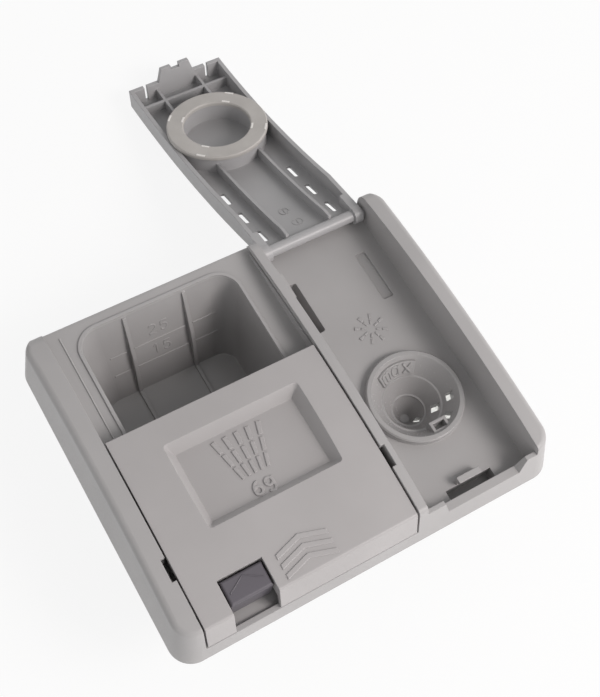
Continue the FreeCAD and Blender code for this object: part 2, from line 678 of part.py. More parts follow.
    # Slot beside the middle rail, blind as well, with a tab on the rail
    slot_far = f"({FAR_Y} - side_slot_far)"
    slot_near = f"({slot_far} - side_slot_length)"
    slot_left = f"({MID_RIGHT} + wall)"
    slot_right = f"({slot_left} + side_slot_width)"
    block = part.sketch("XY", inlay)
    rectangle(block, f"{slot_left} - tub_wall / 2", f"{slot_near} - wall / 2", f"{slot_right} + wall / 2",
              f"{slot_far} + wall / 2")
    part.pad(block, f"{inlay} - bay_floor + side_slot_depth + floor_wall / 2", "-")
    side_slot = part.sketch("XY", "bay_floor")
    rounded(side_slot, slot_left, slot_near, slot_right, slot_far, "wall / 2")
    part.pocket(side_slot, "side_slot_depth", "-")
    tab = part.sketch("XY", "tab_height")
    rectangle(tab, f"{MID_RIGHT} - mid_rail / 2", f"{slot_far} - tab_length", f"{MID_RIGHT} + tab_width", slot_far)
    part.pad(tab, "tab_height - ledge_height + floor_wall", "-")
    recess = part.sketch("XY", "bay_floor")
    recess_right = f"({RIGHT_X} - pad_recess_side)"
    rounded(recess, f"{recess_right} - pad_recess_width", f"{slot_far} - pad_recess_length",
            recess_right, slot_far, "pad_recess_width / 8")
    part.pocket(recess, "pad_recess_depth", "-")

    # Trunnion bores for the flap and pilot holes for the fixing screws
    bores = circle(part.sketch("YZ", f"{RIGHT_X} + pin_depth"), "hinge_y", "hinge_z", "pin_radius + pin_play")
    part.pocket(bores, "right_bay + 2 * pin_depth", "-")
    fixing = part.sketch("XY")
    for x in ("-", ""):
        for y in ("-", ""):
            circle(fixing, f"{x}fixing_x / 2", f"{y}fixing_y / 2", "fixing_radius")
    part.pocket(fixing, "fixing_depth", "+")
    # Gasket groove in the flange seat, as a band between two loops
    groove = part.sketch("XY")
    seat_loop(groove, "(gasket_inset - gasket_play)")
    seat_loop(groove, "(gasket_inset + gasket_width + gasket_play)")
    part.pocket(groove, "seal_sheet", "+")
    # Slot for the latch tooth in the near floor, and the screw posts behind the floors
    part.pocket(tooth_slot(part.sketch("XY", "bay_floor")), "floor_wall", "-")
    for spots, seat in ((CARRIER_POSTS, "carrier_seat"), (TANK_POSTS, "tank_seat")):
        posts = part.sketch("XY", seat)
        pilots = part.sketch("XY", seat)
        for x, y in spots:
            circle(posts, x, y, "post_radius")
            circle(pilots, x, y, "screw_radius + screw_play")
        part.pad(posts, f"bay_floor - floor_wall / 2 - ({seat})", "+")
        part.pocket(pilots, "pilot_depth", "+")
    return part


def make_lid():
    part = Piece("detergent_lid")
    # One wall bends from the crowned top over the front crease into the leaning skirt
    low = "(lid_sill + skirt_gap)"
    under = "(lid_drop + lid_skin)"
    inner = "(lid_front + lid_skin)"
    shell = part.sketch("YZ", LID_LEFT)
    outline(shell, [(LID_BACK, crown(LID_BACK, "lid_drop"), "crown_radius - lid_drop"),
                    ("lid_front", crown("lid_front", "lid_drop")),
                    (near_face(low), low), (f"{near_face(low)} + lid_skin", low),
                    (inner, crown(inner, under), f"-(crown_radius - {under})"),
                    (LID_BACK, crown(LID_BACK, under))])
    part.pad(shell, f"{LID_RIGHT} - {LID_LEFT}", "+")
    crease = value(crown("lid_front", "lid_drop"))

    def on_crease(edge):
        middle = edge.valueAt((edge.FirstParameter + edge.LastParameter) / 2)
        long = edge.Length > value("lid_length") * 0.8
        return long and abs(middle.z - crease) < 0.1 and abs(middle.y - value("lid_front")) < 0.1
    part.fillet("crease_round", on_crease)
    # Side flanges, guide tongues
    for x in (LID_LEFT, f"{LID_RIGHT} - lid_side_wall"):
        flange = part.sketch("YZ", x)
        crown_band(flange, f"{inner} - lid_skin / 4", LID_BACK, "lid_drop + lid_skin / 4", "lid_side")
        part.pad(flange, "lid_side_wall", "+")
    reach = "(track_depth - tongue_play + lid_gap)"
    for start in ("(lid_front + tongue_front)", f"({LID_BACK} - tongue_back - tongue_length)"):
        tongue = part.sketch("YZ", f"{LID_LEFT} - {reach}")
        crown_band(tongue, start, f"{start} + tongue_length", "track_top + tongue_play",
                   "track_top + track_height - tongue_play")
        part.pad(tongue, f"{reach} + lid_side_wall / 2", "+")
        tongue = part.sketch("YZ", f"{LID_RIGHT} - lid_side_wall / 2")
        crown_band(tongue, start, f"{start} + tongue_length", "track_top + tongue_play",
                   "track_top + track_height - tongue_play")
        part.pad(tongue, f"{reach} + lid_side_wall / 2", "+")
    # Pre-wash dish: a pan under the skin, hollowed with sloping sides
    centre = f"(({LID_LEFT} + {LID_RIGHT}) / 2 + dish_shift)"
    back = f"({LID_BACK} - dish_back_gap)"
    floor = "(crest_height - lid_drop - dish_depth)"
    pan = part.sketch("XY", f"{floor} - lid_skin")
    rounded(pan, f"{centre} - dish_width / 2", f"{back} - dish_length", f"{centre} + dish_width / 2",
            back, "dish_radius")
    part.pad(pan, "dish_depth + lid_skin / 2", "+")

    def dish(level, grow):
        return rounded(part.sketch("XY", level), f"{centre} - dish_width / 2 - ({grow})",
                       f"{back} - dish_length - ({grow})", f"{centre} + dish_width / 2 + ({grow})",
                       f"{back} + ({grow})", f"dish_radius + ({grow}) / 2")
    rate = "dish_slope / dish_depth"
    part.loft(dish(floor, "-dish_slope"), dish(f"{floor} + dish_depth + lid_skin", f"lid_skin * {rate}"), cut=True)
    # Button well: side and back walls with a shelf behind, open at the front
    left = f"({LID_LEFT} + button_left)"
    right = f"({left} + button_notch)"
    deep = "(lid_front + button_depth)"
    well = part.sketch("XY", "well_floor - well_wall")
    rectangle(well, f"{left} - well_wall", f"{near_face('well_floor')} + lid_skin", f"{right} + well_wall",
              f"{deep} + well_wall")
    top = f"({crown('lid_front', 'lid_drop')} - lid_skin / 2)"
    part.pad(well, f"{top} - well_floor + well_wall", "+")
    notch = part.sketch("XY", "well_floor")
    rectangle(notch, left, f"{NEAR_SEAT_Y} - {CLEAR}", right, deep)
    part.pocket(notch, CLEAR, "+")
    front = part.sketch("XY")
    rectangle(front, left, f"{NEAR_SEAT_Y} - {CLEAR}", right, SHELF_Y)
    part.pocket(front, CLEAR, "+")
    return part


def make_button():
    part = Piece("release_button")
    front = "(lid_front + button_setback)"
    under = f"({BUTTON_TOP} - button_plate)"
    side = part.sketch("YZ", f"{LID_LEFT} + button_left + button_gap")
    outline(side, [(front, "button_low"), (f"{front} + button_front", "button_low"),
                   (f"{front} + button_front", under), (BUTTON_BACK, under), (BUTTON_BACK, BUTTON_TOP),
                   (front, f"{BUTTON_TOP} - button_slope")])
    part.pad(side, "button_notch - 2 * button_gap", "+")
    highest = value(BUTTON_TOP) - value("button_slope") - 0.01

    def upper(edge):
        return all(v.Point.z > highest for v in edge.Vertexes)
    part.fillet("button_round", upper)
    return part


def coil_spring(label, radius, wire, length, turns, x, y, z, along_x=False):
    """Compression spring, its wire drawn eight-sided, swept along a helix and set on its seat."""
    spring = doc.addObject("Part::Feature", label)
    spring.Label = label
    thick = value(wire)
    gap = value("spring_gap")
    rise = value(length) - 2 * gap - 2 * thick
    helix = Part.makeHelix(rise / turns, rise, value(radius))
    angles = [math.radians(22.5 + 45 * i) for i in range(9)]
    corners = [V(value(radius) + thick * math.cos(a), 0, thick * math.sin(a)) for a in angles]
    section = Part.makePolygon(corners)
    spring.Shape = Part.Wire(helix).makePipeShell([section], True, True)
    tilt = FreeCAD.Rotation(V(0, 1, 0), 90 if along_x else 0)
    seat = V(value(x), value(y), value(z)) + tilt.multVec(V(0, 0, thick + gap))
    spring.Placement = FreeCAD.Placement(seat, tilt)
    return spring


def make_springs():
    under = f"({BUTTON_TOP} - button_plate)"
    button = coil_spring("button_spring", "button_spring_radius", "button_spring_wire",
                         f"{under} - well_floor", 2, f"{LID_LEFT} + button_left + button_notch / 2",
                         f"({SHELF_Y} + {BUTTON_BACK}) / 2", "well_floor")
    latch = coil_spring("latch_spring", "plunger_radius + 2 * spring_wire", "spring_wire", "latch_collar", 2.5,
                        "latch_left + yoke_length", "latch_y", MAGNET_Z, True)
    start = "(valve_left + yoke_length + valve_collar + collar_sheet)"
    valve = coil_spring("valve_spring", "rod_radius + 3 * spring_wire", "spring_wire",
                        f"carrier_right - carrier_wall - {start}", 3.5, start, "valve_y", MAGNET_Z, True)
    return [button, latch, valve]


def make_flap():
    part = Piece("rinse_flap")
    skin_z = "(flap_radius - flap_crest)"
    end = "flap_length"
    half = "flap_width / 2"

    def arc(y, rise):
        return f"({skin_z} - sqrt((flap_radius - ({rise}))^2 - ({y} - flap_crest_y)^2))"

    def band(sketch, y0, y1, low, high):
        """Band between two arcs about the skin's centre, given as rises above the outer skin."""
        return outline(sketch, [(y0, arc(y0, low), f"flap_radius - ({low})"), (y1, arc(y1, low)),
                                (y1, arc(y1, high), f"-(flap_radius - ({high}))"), (y0, arc(y0, high))])
    # Curved tray: outer block, then its inside
    part.pad(band(part.sketch("YZ", f"-{half}"), "flap_wall / 2", end, "0", "flap_rise"), "flap_width", "+")
    inside = band(part.sketch("YZ", f"-{half} + flap_wall"), "flap_root", f"{end} - flap_wall",
                  "flap_skin", "flap_rise + flap_trim")
    part.pocket(inside, "flap_width - 2 * flap_wall", "+")
    root = part.sketch("YZ", f"-{half} + arm_width")
    rectangle(root, "-arm_radius", "-flap_rise", "bar_radius + flap_skin", "flap_rise")
    part.pocket(root, "flap_width - 2 * arm_width", "+")
    # Ribs, cross rib and seal boss
    for x in ("-rib_offset", "rib_offset"):
        rib = band(part.sketch("YZ", f"{x} - flap_rib / 2"), "flap_root - flap_skin", f"{end} - flap_wall / 2",
                   "flap_skin / 2", "rib_rise")
        part.pad(rib, "flap_rib", "+")
    cross = part.sketch("YZ", f"-{half} + flap_wall / 2")
    band(cross, f"{end} - cross_rib_gap - flap_rib", f"{end} - cross_rib_gap", "flap_skin / 2", "rib_rise")
    part.pad(cross, "flap_width - flap_wall", "+")
    seal_y = "(hinge_y - cup_y)"
    face = "(hinge_z - cup_rim_height - seal_gap - seal_thickness)"
    boss = circle(part.sketch("XY", face), "0", seal_y, "boss_radius")
    part.pad(boss, f"{face} + flap_crest - 3 * flap_skin / 4", "-")
    hollow = circle(part.sketch("XY", face), "0", seal_y, "seal_bore")
    part.pocket(hollow, f"{face} + flap_crest - flap_skin", "-")
    # Wall edges are trimmed so that the closed flap clears the bay floor
    trim = part.sketch("XY", "flap_trim")
    rectangle(trim, "-flap_width", "-arm_radius", "flap_width", f"2 * {end}")
    part.pocket(trim, CLEAR, "+")
    # Slots beside the ribs, slits in the end wall, latch tongue
    slot = part.sketch("XY", "-flap_crest + flap_rise")
    for x in ("-slot_offset", "slot_offset"):
        rounded(slot, f"{x} - slot_width / 2", "slot_first - slot_length / 2", f"{x} + slot_width / 2",
                "slot_first + slot_length / 2", "slot_width / 2.2")
    cut = part.pocket(slot, CLEAR, "-")
    part.row(cut, "Y_Axis", 3, "2 * slot_pitch")
    slit = part.sketch("XZ", end)
    for x in ("-slit_offset", "slit_offset"):
        rectangle(slit, f"{x} - slit_width / 2", arc(end, "flap_skin"), f"{x} + slit_width / 2", "flap_rise")
    part.pocket(slit, "flap_wall", "-")
    latch = part.sketch("XZ", end)
    rise = f"({arc(end, 'flap_rise')} + latch_rise)"
    outline(latch, [("-latch_base / 2", arc(end, "flap_skin / 2")), ("latch_base / 2", arc(end, "flap_skin / 2")),
                    ("latch_base / 2", arc(end, "flap_rise")), ("latch_tip / 2", rise), ("latch_notch / 2", rise),
                    ("latch_notch / 2", f"{rise} - latch_notch_depth"),
                    ("-latch_notch / 2", f"{rise} - latch_notch_depth"), ("-latch_notch / 2", rise),
                    ("-latch_tip / 2", rise), ("-latch_base / 2", arc(end, "flap_rise"))])
    part.pad(latch, "flap_wall", "-")
    # Hinge: round bar between two arms, with a trunnion outside each arm
    for x in (f"-{half}", f"{half} - arm_width"):
        arm = circle(part.sketch("YZ", x), "0", "0", "arm_radius")
        part.pad(arm, "arm_width", "+")
        link = part.sketch("YZ", x)
        outline(link, [("0", "-arm_radius / 2"), ("arm_reach", arc("arm_reach", "flap_skin / 4")),
                       ("arm_reach", "flap_trim"), ("0", "flap_trim")])
        part.pad(link, "arm_width", "+")
    bar = circle(part.sketch("YZ", f"-{half} + arm_width / 2"), "0", "0", "bar_radius")
    part.pad(bar, "flap_width - arm_width", "+")
    web = part.sketch("YZ", f"-{half} + arm_width / 2")
    reach = "(bar_radius + 2 * flap_skin)"
    outline(web, [("0", "-bar_radius"), (reach, arc(reach, "0")), (reach, arc(reach, "flap_skin")),
                  ("0", "-bar_radius / 3")])
    part.pad(web, "flap_width - arm_width", "+")
    length = "(right_bay + 2 * pin_depth - 2 * pin_end_play)"
    pin = circle(part.sketch("YZ", f"-{length} / 2"), "0", "0", "pin_radius")
    part.pad(pin, length, "+")
    part.place(BAY_X, "hinge_y", "hinge_z", (1, 0, 0), "-flap_droop")
    return part


def make_flap_seal():
    part = Piece("flap_seal")
    low = "(hinge_z - cup_rim_height - seal_gap - seal_thickness)"
    edge = "seal_thickness / 4"
    ring = part.sketch("XZ")
    outline(ring, [("seal_bore", low), ("seal_radius", low), ("seal_radius", f"{low} + seal_thickness - {edge}"),
                   (f"seal_radius - {edge}", f"{low} + seal_thickness"),
                   (f"seal_bore + {edge}", f"{low} + seal_thickness"),
                   ("seal_bore", f"{low} + seal_thickness - {edge}")])
    part.turn(ring)
    reach = "(hinge_y - cup_y)"
    part.place(BAY_X, f"hinge_y + {reach} * cos(flap_droop)", f"hinge_z - {reach} * sin(flap_droop)",
               (1, 0, 0), "-flap_droop")
    return part


def make_cup():
    part = Piece("filler_cup")
    rim = "(cup_rim_radius - collar_wall - cup_play)"
    seat = "(cup_rim_height - cup_lip)"
    edge = "cup_lip / 2"
    foot = "(cup_foot_height - cup_step)"
    shape = part.sketch("XZ")
    outline(shape, [("0", "cup_tip_height - cup_wall"), ("cup_bore + cup_wall", "cup_tip_height - cup_wall"),
                    ("cup_foot_radius - cup_step + cup_wall", f"{foot} - cup_wall"),
                    ("cup_waist_radius + cup_wall", "cup_waist_height - cup_wall"),
                    (rim, "bay_floor - floor_wall"), (rim, seat), ("cup_rim_radius", seat),
                    ("cup_rim_radius", f"cup_rim_height - {edge}"),
                    (f"cup_rim_radius - {edge}", "cup_rim_height"),
                    (f"{rim} - {edge}", "cup_rim_height"), ("cup_waist_radius", "cup_waist_height"),
                    ("cup_waist_radius - cup_step", "cup_waist_height"), ("cup_foot_radius", "cup_foot_height"),
                    ("cup_foot_radius - cup_step", "cup_foot_height"),
                    ("cup_foot_radius - cup_step", foot), ("cup_bore", "cup_tip_height"), ("0", "cup_tip_height")])
    part.turn(shape)

    def window(turn, near, far, width):
        """Slot through the sloping wall, at an angle about the cup's axis."""
        along = f"cos({turn})"
        across = f"sin({turn})"
        corners = [(near, "-"), (far, "-"), (far, "+"), (near, "+")]
        plan = part.sketch("XY", "cup_rim_height")
        outline(plan, [(f"{r} * {along} - ({side}1) * {width} / 2 * {across}",
                        f"{r} * {across} + ({side}1) * {width} / 2 * {along}") for r, side in corners])
        part.pocket(plan, CLEAR, "-")
    upper = ("upper_window_near", "upper_window_far", "upper_window_width")
    window("upper_window_turn", *upper)
    window("(upper_window_turn + upper_window_step)", *upper)
    window("lower_window_turn", "lower_window_near", "lower_window_far", "lower_window_width")
    window("tip_window_turn", "tip_window_near", "tip_window_far", "tip_window_width")
    # Hooded box on the near side of the cone
    back = "(hood_overlap - cup_waist_radius)"
    right = "(hood_left + hood_width)"
    hood = part.sketch("XY", "cup_waist_height + hood_lift")
    rectangle(hood, "hood_left", f"{back} - hood_length", right, back)
    part.pad(hood, "cup_rim_height - hood_drop - cup_waist_height - hood_lift", "+")
    mouth = part.sketch("XY", "cup_waist_height + hood_lift + hood_wall")
    rectangle(mouth, "hood_left + hood_wall", f"{back} - hood_length + hood_wall", f"{right} - hood_wall",
              f"{back} - hood_wall")
    part.pocket(mouth, CLEAR, "+")
    part.place(BAY_X, "cup_y", "0")
    return part


def tank_outline(sketch, inset):
    """L-shaped plan of the tank, which steps clear of the slot beside the middle rail."""
    left = f"({MID_RIGHT} + tank_gap + {inset})"
    right = f"({RIGHT_X} - tank_gap - {inset})"
    step = f"({MID_RIGHT} + tank_step_x + {inset})"
    near = f"(tank_near + {inset})"
    far = f"(tank_far - {inset})"
    return outline(sketch, [(left, near), (right, near), (right, far), (step, far),
                            (step, f"tank_step_y - {inset}"), (left, f"tank_step_y - {inset}")])


def upright(edge):
    a, b = edge.Vertexes[0].Point, edge.Vertexes[-1].Point
    return abs(a.x - b.x) + abs(a.y - b.y) < 0.01


def screw_ears(part, boxes, spots, seat):
    """Flat ears under the screw posts, each with a clearance hole."""
    ears = part.sketch("XY", seat)
    holes = part.sketch("XY", seat)
    for box in boxes:
        rectangle(ears, *box)
    for x, y in spots:
        circle(holes, x, y, "screw_radius + screw_clear")
    part.pad(ears, "ear_sheet", "-")
    part.pocket(holes, "ear_sheet", "-")


def make_tank():
    part = Piece("rinse_tank")
    top = "(bay_floor - floor_wall - seal_sheet)"
    part.pad(tank_outline(part.sketch("XY", "-rear_depth"), "0"), f"{top} + rear_depth", "+")
    part.fillet("tank_radius", upright)
    reach = "post_radius + post_gap"
    boxes = [(f"{x} - ear_half", f"{y} - ({reach})", f"{x} + ear_half", "tank_near + tank_wall / 2")
             for x, y in TANK_POSTS[:2]]
    x, y = TANK_POSTS[2]
    boxes.append((f"{x} - ear_half", "tank_far - tank_wall / 2", f"{x} + ear_half", f"{y} + post_radius"))
    x, y = TANK_POSTS[3]
    boxes.append((f"{x} - ({reach})", f"{y} - ear_half", f"{STEP_X} + tank_wall / 2", f"{y} + ear_half"))
    screw_ears(part, boxes, TANK_POSTS, "tank_seat")
    inside = tank_outline(part.sketch("XY", top), "tank_wall")
    part.pocket(inside, f"{top} + rear_depth - tank_wall", "-")
    rod = circle(part.sketch("YZ", MID_RIGHT), "valve_y", MAGNET_Z, "rod_radius + rod_play")
    part.pocket(rod, "tank_gap + tank_wall + 1", "+")
    return part


def make_tank_seal():
    part = Piece("tank_seal")
    top = "(bay_floor - floor_wall)"
    part.pad(tank_outline(part.sketch("XY", top), "seal_inset"), "seal_sheet", "-")
    part.pocket(tank_outline(part.sketch("XY", top), "tank_wall"), "seal_sheet", "-")
    return part


def make_flange_gasket():
    part = Piece("flange_gasket")
    band = part.sketch("XY")
    seat_loop(band, "gasket_inset")
    seat_loop(band, "(gasket_inset + gasket_width)")
    part.pad(band, "seal_sheet", "+")
    return part


def make_carrier():
    part = Piece("actuator_carrier")
    top = "(bay_floor - floor_wall)"
    plan = part.sketch("XY", "-rear_depth")
    rectangle(plan, "carrier_left", "carrier_near", "carrier_right", "carrier_far")
    part.pad(plan, f"{top} + rear_depth", "+")
    part.fillet("2 * carrier_wall", upright)
    reach = "(post_radius + post_gap)"
    boxes = []
    for x, y in CARRIER_POSTS:
        side = (f"{x} - {reach}", "carrier_left + carrier_wall / 2")
        if x == POST_RIGHT:
            side = ("carrier_right - carrier_wall / 2", f"{x} + {reach}")
        boxes.append((side[0], f"{y} - ear_half", side[1], f"{y} + ear_half"))
    screw_ears(part, boxes, CARRIER_POSTS, "carrier_seat")
    hollow = part.sketch("XY", "-rear_depth")
    rectangle(hollow, "carrier_left + carrier_wall", "carrier_near + carrier_wall",
              "carrier_right - carrier_wall", "carrier_far - carrier_wall")
    part.pocket(hollow, f"{top} + rear_depth - carrier_wall", "+")
    rod = circle(part.sketch("YZ", "carrier_right + 1"), "valve_y", MAGNET_Z, "rod_radius + rod_play")
    part.pocket(rod, "carrier_wall + 2", "-")
    part.pocket(tooth_slot(part.sketch("XY", f"{top} + 1")), "carrier_wall + 2", "-")
    pilots = part.sketch("XY", top)
    for x, y in YOKE_SPOTS:
        circle(pilots, x, y, "screw_radius + screw_play")
    part.pocket(pilots, "carrier_wall + 1", "-")
    # Two ears hold the ends of the lever's pin
    for face in ("latch_y - lever_width / 2 - lever_play", "latch_y + lever_width / 2 + lever_play + carrier_wall"):
        ear = part.sketch("XZ", face)
        outline(ear, [("lever_x - lever_boss", f"{top} - carrier_wall / 2"),
                      ("lever_x - lever_boss", "lever_z", "lever_boss"), ("lever_x + lever_boss", "lever_z"),
                      ("lever_x + lever_boss", f"{top} - carrier_wall / 2")])
        part.pad(ear, "carrier_wall", "-")
    bore = circle(part.sketch("XZ", "latch_y + lever_width"), "lever_x", "lever_z", "lever_pin_radius + pin_play")
    part.pocket(bore, "2 * lever_width", "-")
    return part


YOKE_SPOTS = [(f"({back} + yoke_length / 2)", f"({axis} {side} yoke_screw)")
              for back, axis in (("latch_left", "latch_y"), ("valve_left", "valve_y")) for side in ("-", "+")]


def along_x(part, back, axis):
    """Lay a piece that is drawn along its own Y on a magnet axis, which runs along X."""
    part.place(back, axis, MAGNET_Z, (0, 0, 1), "-90")
    return part


def make_magnet(name):
    """Yoke and coil of one magnet, drawn along local Y with the mouth at the far end."""
    yoke = Piece(name + "_yoke")
    half = "yoke_width / 2"
    frame = yoke.sketch("YZ", f"-{half}")
    outline(frame, [("0", "-yoke_height / 2"), ("yoke_sheet", "-yoke_height / 2"),
                    ("yoke_sheet", "yoke_height / 2 - yoke_sheet"),
                    ("yoke_length - yoke_sheet", "yoke_height / 2 - yoke_sheet"),
                    ("yoke_length - yoke_sheet", "-yoke_height / 2"), ("yoke_length", "-yoke_height / 2"),
                    ("yoke_length", "yoke_height / 2"), ("0", "yoke_height / 2")])
    yoke.pad(frame, "yoke_width", "+")
    mouth = circle(yoke.sketch("XZ", "yoke_length + 1"), "0", "0", "plunger_radius + pin_play")
    yoke.pocket(mouth, "yoke_sheet + 2", "-")
    holes = yoke.sketch("XY", "yoke_height / 2")
    for side in ("-", ""):
        circle(holes, f"{side}yoke_screw", "yoke_length / 2", "screw_radius + screw_clear")
    yoke.pocket(holes, "yoke_sheet", "-")
    coil = Piece(name + "_coil")
    reel = coil.sketch("YZ")
    inner = "(yoke_sheet + coil_flange)"
    outer = "(yoke_length - yoke_sheet - coil_flange)"
    outline(reel, [("yoke_sheet", "coil_bore"), ("yoke_length - yoke_sheet", "coil_bore"),
                   ("yoke_length - yoke_sheet", "coil_radius"), (outer, "coil_radius"),
                   (outer, "coil_radius - winding_drop"), (inner, "coil_radius - winding_drop"),
                   (inner, "coil_radius"), ("yoke_sheet", "coil_radius")])
    coil.turn(reel, "H_Axis")
    block = coil.sketch("XY", "-coil_radius - block_drop")
    rectangle(block, "-block_half", "yoke_sheet", "block_half", "yoke_sheet + block_length")
    coil.pad(block, "block_drop + coil_radius - coil_bore - coil_flange", "+")
    return yoke, coil


def make_latch_plunger():
    part = Piece("latch_plunger")
    tip = "(lever_x - lever_half - tip_gap - latch_left)"
    collar = "(yoke_length + latch_collar)"
    side = part.sketch("YZ")
    outline(side, [("core_start", "0"), (tip, "0", "rod_radius"), (f"{tip} - rod_radius", "rod_radius"),
                   (f"{collar} + collar_sheet", "rod_radius"), (f"{collar} + collar_sheet", "collar_radius"),
                   (collar, "collar_radius"), (collar, "rod_radius"),
                   ("yoke_length + latch_core_out", "rod_radius"), ("yoke_length + latch_core_out", "plunger_radius"),
                   ("core_start", "plunger_radius")])
    part.turn(side, "H_Axis")
    return along_x(part, "latch_left", "latch_y")


VALVE_SEAT = f"({MID_RIGHT} + tank_gap + tank_wall + valve_gap - valve_left)"


def make_valve_plunger():
    part = Piece("valve_plunger")
    collar = "(yoke_length + valve_collar)"
    core = "(yoke_length - valve_core_in)"
    end = f"({VALVE_SEAT} + valve_head_sheet / 2)"
    side = part.sketch("YZ")
    outline(side, [("core_start", "0"), (end, "0"), (end, "rod_radius"), (f"{collar} + collar_sheet", "rod_radius"),
                   (f"{collar} + collar_sheet", "collar_radius"), (collar, "collar_radius"), (collar, "rod_radius"),
                   (core, "rod_radius"), (core, "plunger_radius"), ("core_start", "plunger_radius")])
    part.turn(side, "H_Axis")
    return along_x(part, "valve_left", "valve_y")


def make_valve_head():
    part = Piece("valve_head")
    hole = "(rod_radius + pin_play)"
    side = part.sketch("YZ")
    outline(side, [(VALVE_SEAT, hole), (f"{VALVE_SEAT} + valve_head_sheet / 2", hole),
                   (f"{VALVE_SEAT} + valve_head_sheet / 2", "0"), (f"{VALVE_SEAT} + valve_head_sheet", "0"),
                   (f"{VALVE_SEAT} + valve_head_sheet", "valve_head_radius * 0.7"),
                   (f"{VALVE_SEAT} + valve_head_sheet / 2", "valve_head_radius"), (VALVE_SEAT, "valve_head_radius")])
    part.turn(side, "H_Axis")
    return along_x(part, "valve_left", "valve_y")


def make_lever():
    part = Piece("latch_lever")
    arms = part.sketch("XZ", "latch_y + lever_width / 2")
    low = "lever_z - arm_low"
    outline(arms, [("lever_x - lever_half", "lever_z"), ("lever_x - lever_half", f"{MAGNET_Z} - arm_low"),
                   ("lever_x + lever_half", f"{MAGNET_Z} - arm_low"), ("lever_x + lever_half", low),
                   (TOOTH_FAR, low), (TOOTH_FAR, "lever_z + arm_high"), ("lever_x", "lever_z + arm_high")])
    part.pad(arms, "lever_width", "-")
    boss = circle(part.sketch("XZ", "latch_y + lever_width / 2"), "lever_x", "lever_z", "lever_boss")
    part.pad(boss, "lever_width", "-")
    tooth = part.sketch("XZ", "tooth_y")
    outline(tooth, [(f"{TOOTH_FAR} - tooth_width", low), (TOOTH_FAR, low), (TOOTH_FAR, "tooth_height"),
                    (f"{TOOTH_FAR} - tooth_width", "tooth_height")])
    part.pad(tooth, "tooth_depth", "-")
    bore = circle(part.sketch("XZ", "latch_y + lever_width"), "lever_x", "lever_z", "lever_pin_radius + pin_play")
    part.pocket(bore, "2 * lever_width", "-")
    return part


def make_lever_pin():
    part = Piece("lever_pin")
    end = "lever_width / 2 + lever_play + carrier_wall"
    pin = circle(part.sketch("XZ", f"latch_y + {end}"), "lever_x", "lever_z", "lever_pin_radius")
    part.pad(pin, f"2 * ({end})", "-")
    return part


def make_screws(label, spots, seat, shank):
    """A set of like screws with their heads to the rear."""
    part = Piece(label)
    heads = part.sketch("XY", seat)
    shanks = part.sketch("XY", seat)
    for x, y in spots:
        circle(heads, x, y, "screw_head")
        circle(shanks, x, y, "screw_radius")
    part.pad(heads, "screw_head_height", "-")
    part.pad(shanks, shank, "+")
    return part


def make_terminals():
    part = Piece("coil_terminals")
    blades = part.sketch("XY", f"{MAGNET_Z} - coil_radius - block_drop")
    for back, axis in (("latch_left", "latch_y"), ("valve_left", "valve_y")):
        middle = f"({back} + yoke_sheet + block_length / 2)"
        for side in ("-", "+"):
            centre = f"({axis} {side} blade_offset)"
            rectangle(blades, f"{middle} - blade_sheet / 2", f"{centre} - blade_width / 2",
                      f"{middle} + blade_sheet / 2", f"{centre} + blade_width / 2")
    part.pad(blades, "blade_length", "-")
    return part


made = [make_housing(), make_lid(), make_button(), make_flap(), make_flap_seal(), make_cup(), make_tank(),
        make_tank_seal(), make_flange_gasket(), make_carrier(), make_lever(), make_lever_pin(),
        make_latch_plunger(), make_valve_plunger(), make_valve_head(), make_terminals(),
        make_screws("carrier_screws", CARRIER_POSTS, "carrier_seat - ear_sheet", "ear_sheet + pilot_depth - 1"),
        make_screws("tank_screws", TANK_POSTS, "tank_seat - ear_sheet", "ear_sheet + pilot_depth - 1"),
        make_screws("yoke_screws", YOKE_SPOTS, f"{MAGNET_Z} + yoke_height / 2 - yoke_sheet",
                    "yoke_sheet + carrier_wall - screw_clear")]
for name, back, axis in (("latch", "latch_left", "latch_y"), ("valve", "valve_left", "valve_y")):
    made += [along_x(piece, back, axis) for piece in make_magnet(name)]
pieces = [piece.body for piece in made] + make_springs()

doc.recompute()
faults = [o.Name for o in doc.Objects if "Invalid" in o.State or "Error" in o.State]
for piece in pieces:
    if piece.Shape.isNull() or not piece.Shape.isValid() or not piece.Shape.Solids:
        faults.append(piece.Label)
if faults:
    raise RuntimeError("failed: " + ", ".join(faults))

os.makedirs("parts", exist_ok=True)
for piece in pieces:
    piece.Shape.exportStep(f"parts/{piece.Label}.step")
    box = piece.Shape.BoundBox
    print(f"{piece.Label}: {len(piece.Shape.Solids)} solids, {piece.Shape.Volume / 1000:.2f} cm3, "
          f"x {box.XMin:.1f} {box.XMax:.1f} y {box.YMin:.1f} {box.YMax:.1f} z {box.ZMin:.1f} {box.ZMax:.1f}")
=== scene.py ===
# %% [markdown]
# This lesson dresses a dishwasher's detergent and rinse-aid dispenser. The solid parts come from
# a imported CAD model, so every piece made here is placed in the same frame, in metres, and rides on
# one of the model's moving bodies. The steps are: load the model, make the finishes, add the
# moulded marks and small metal parts, then set up floor, light and camera.

# %% Load the model
import math

import bmesh
import bpy
from mathutils import Matrix, Vector


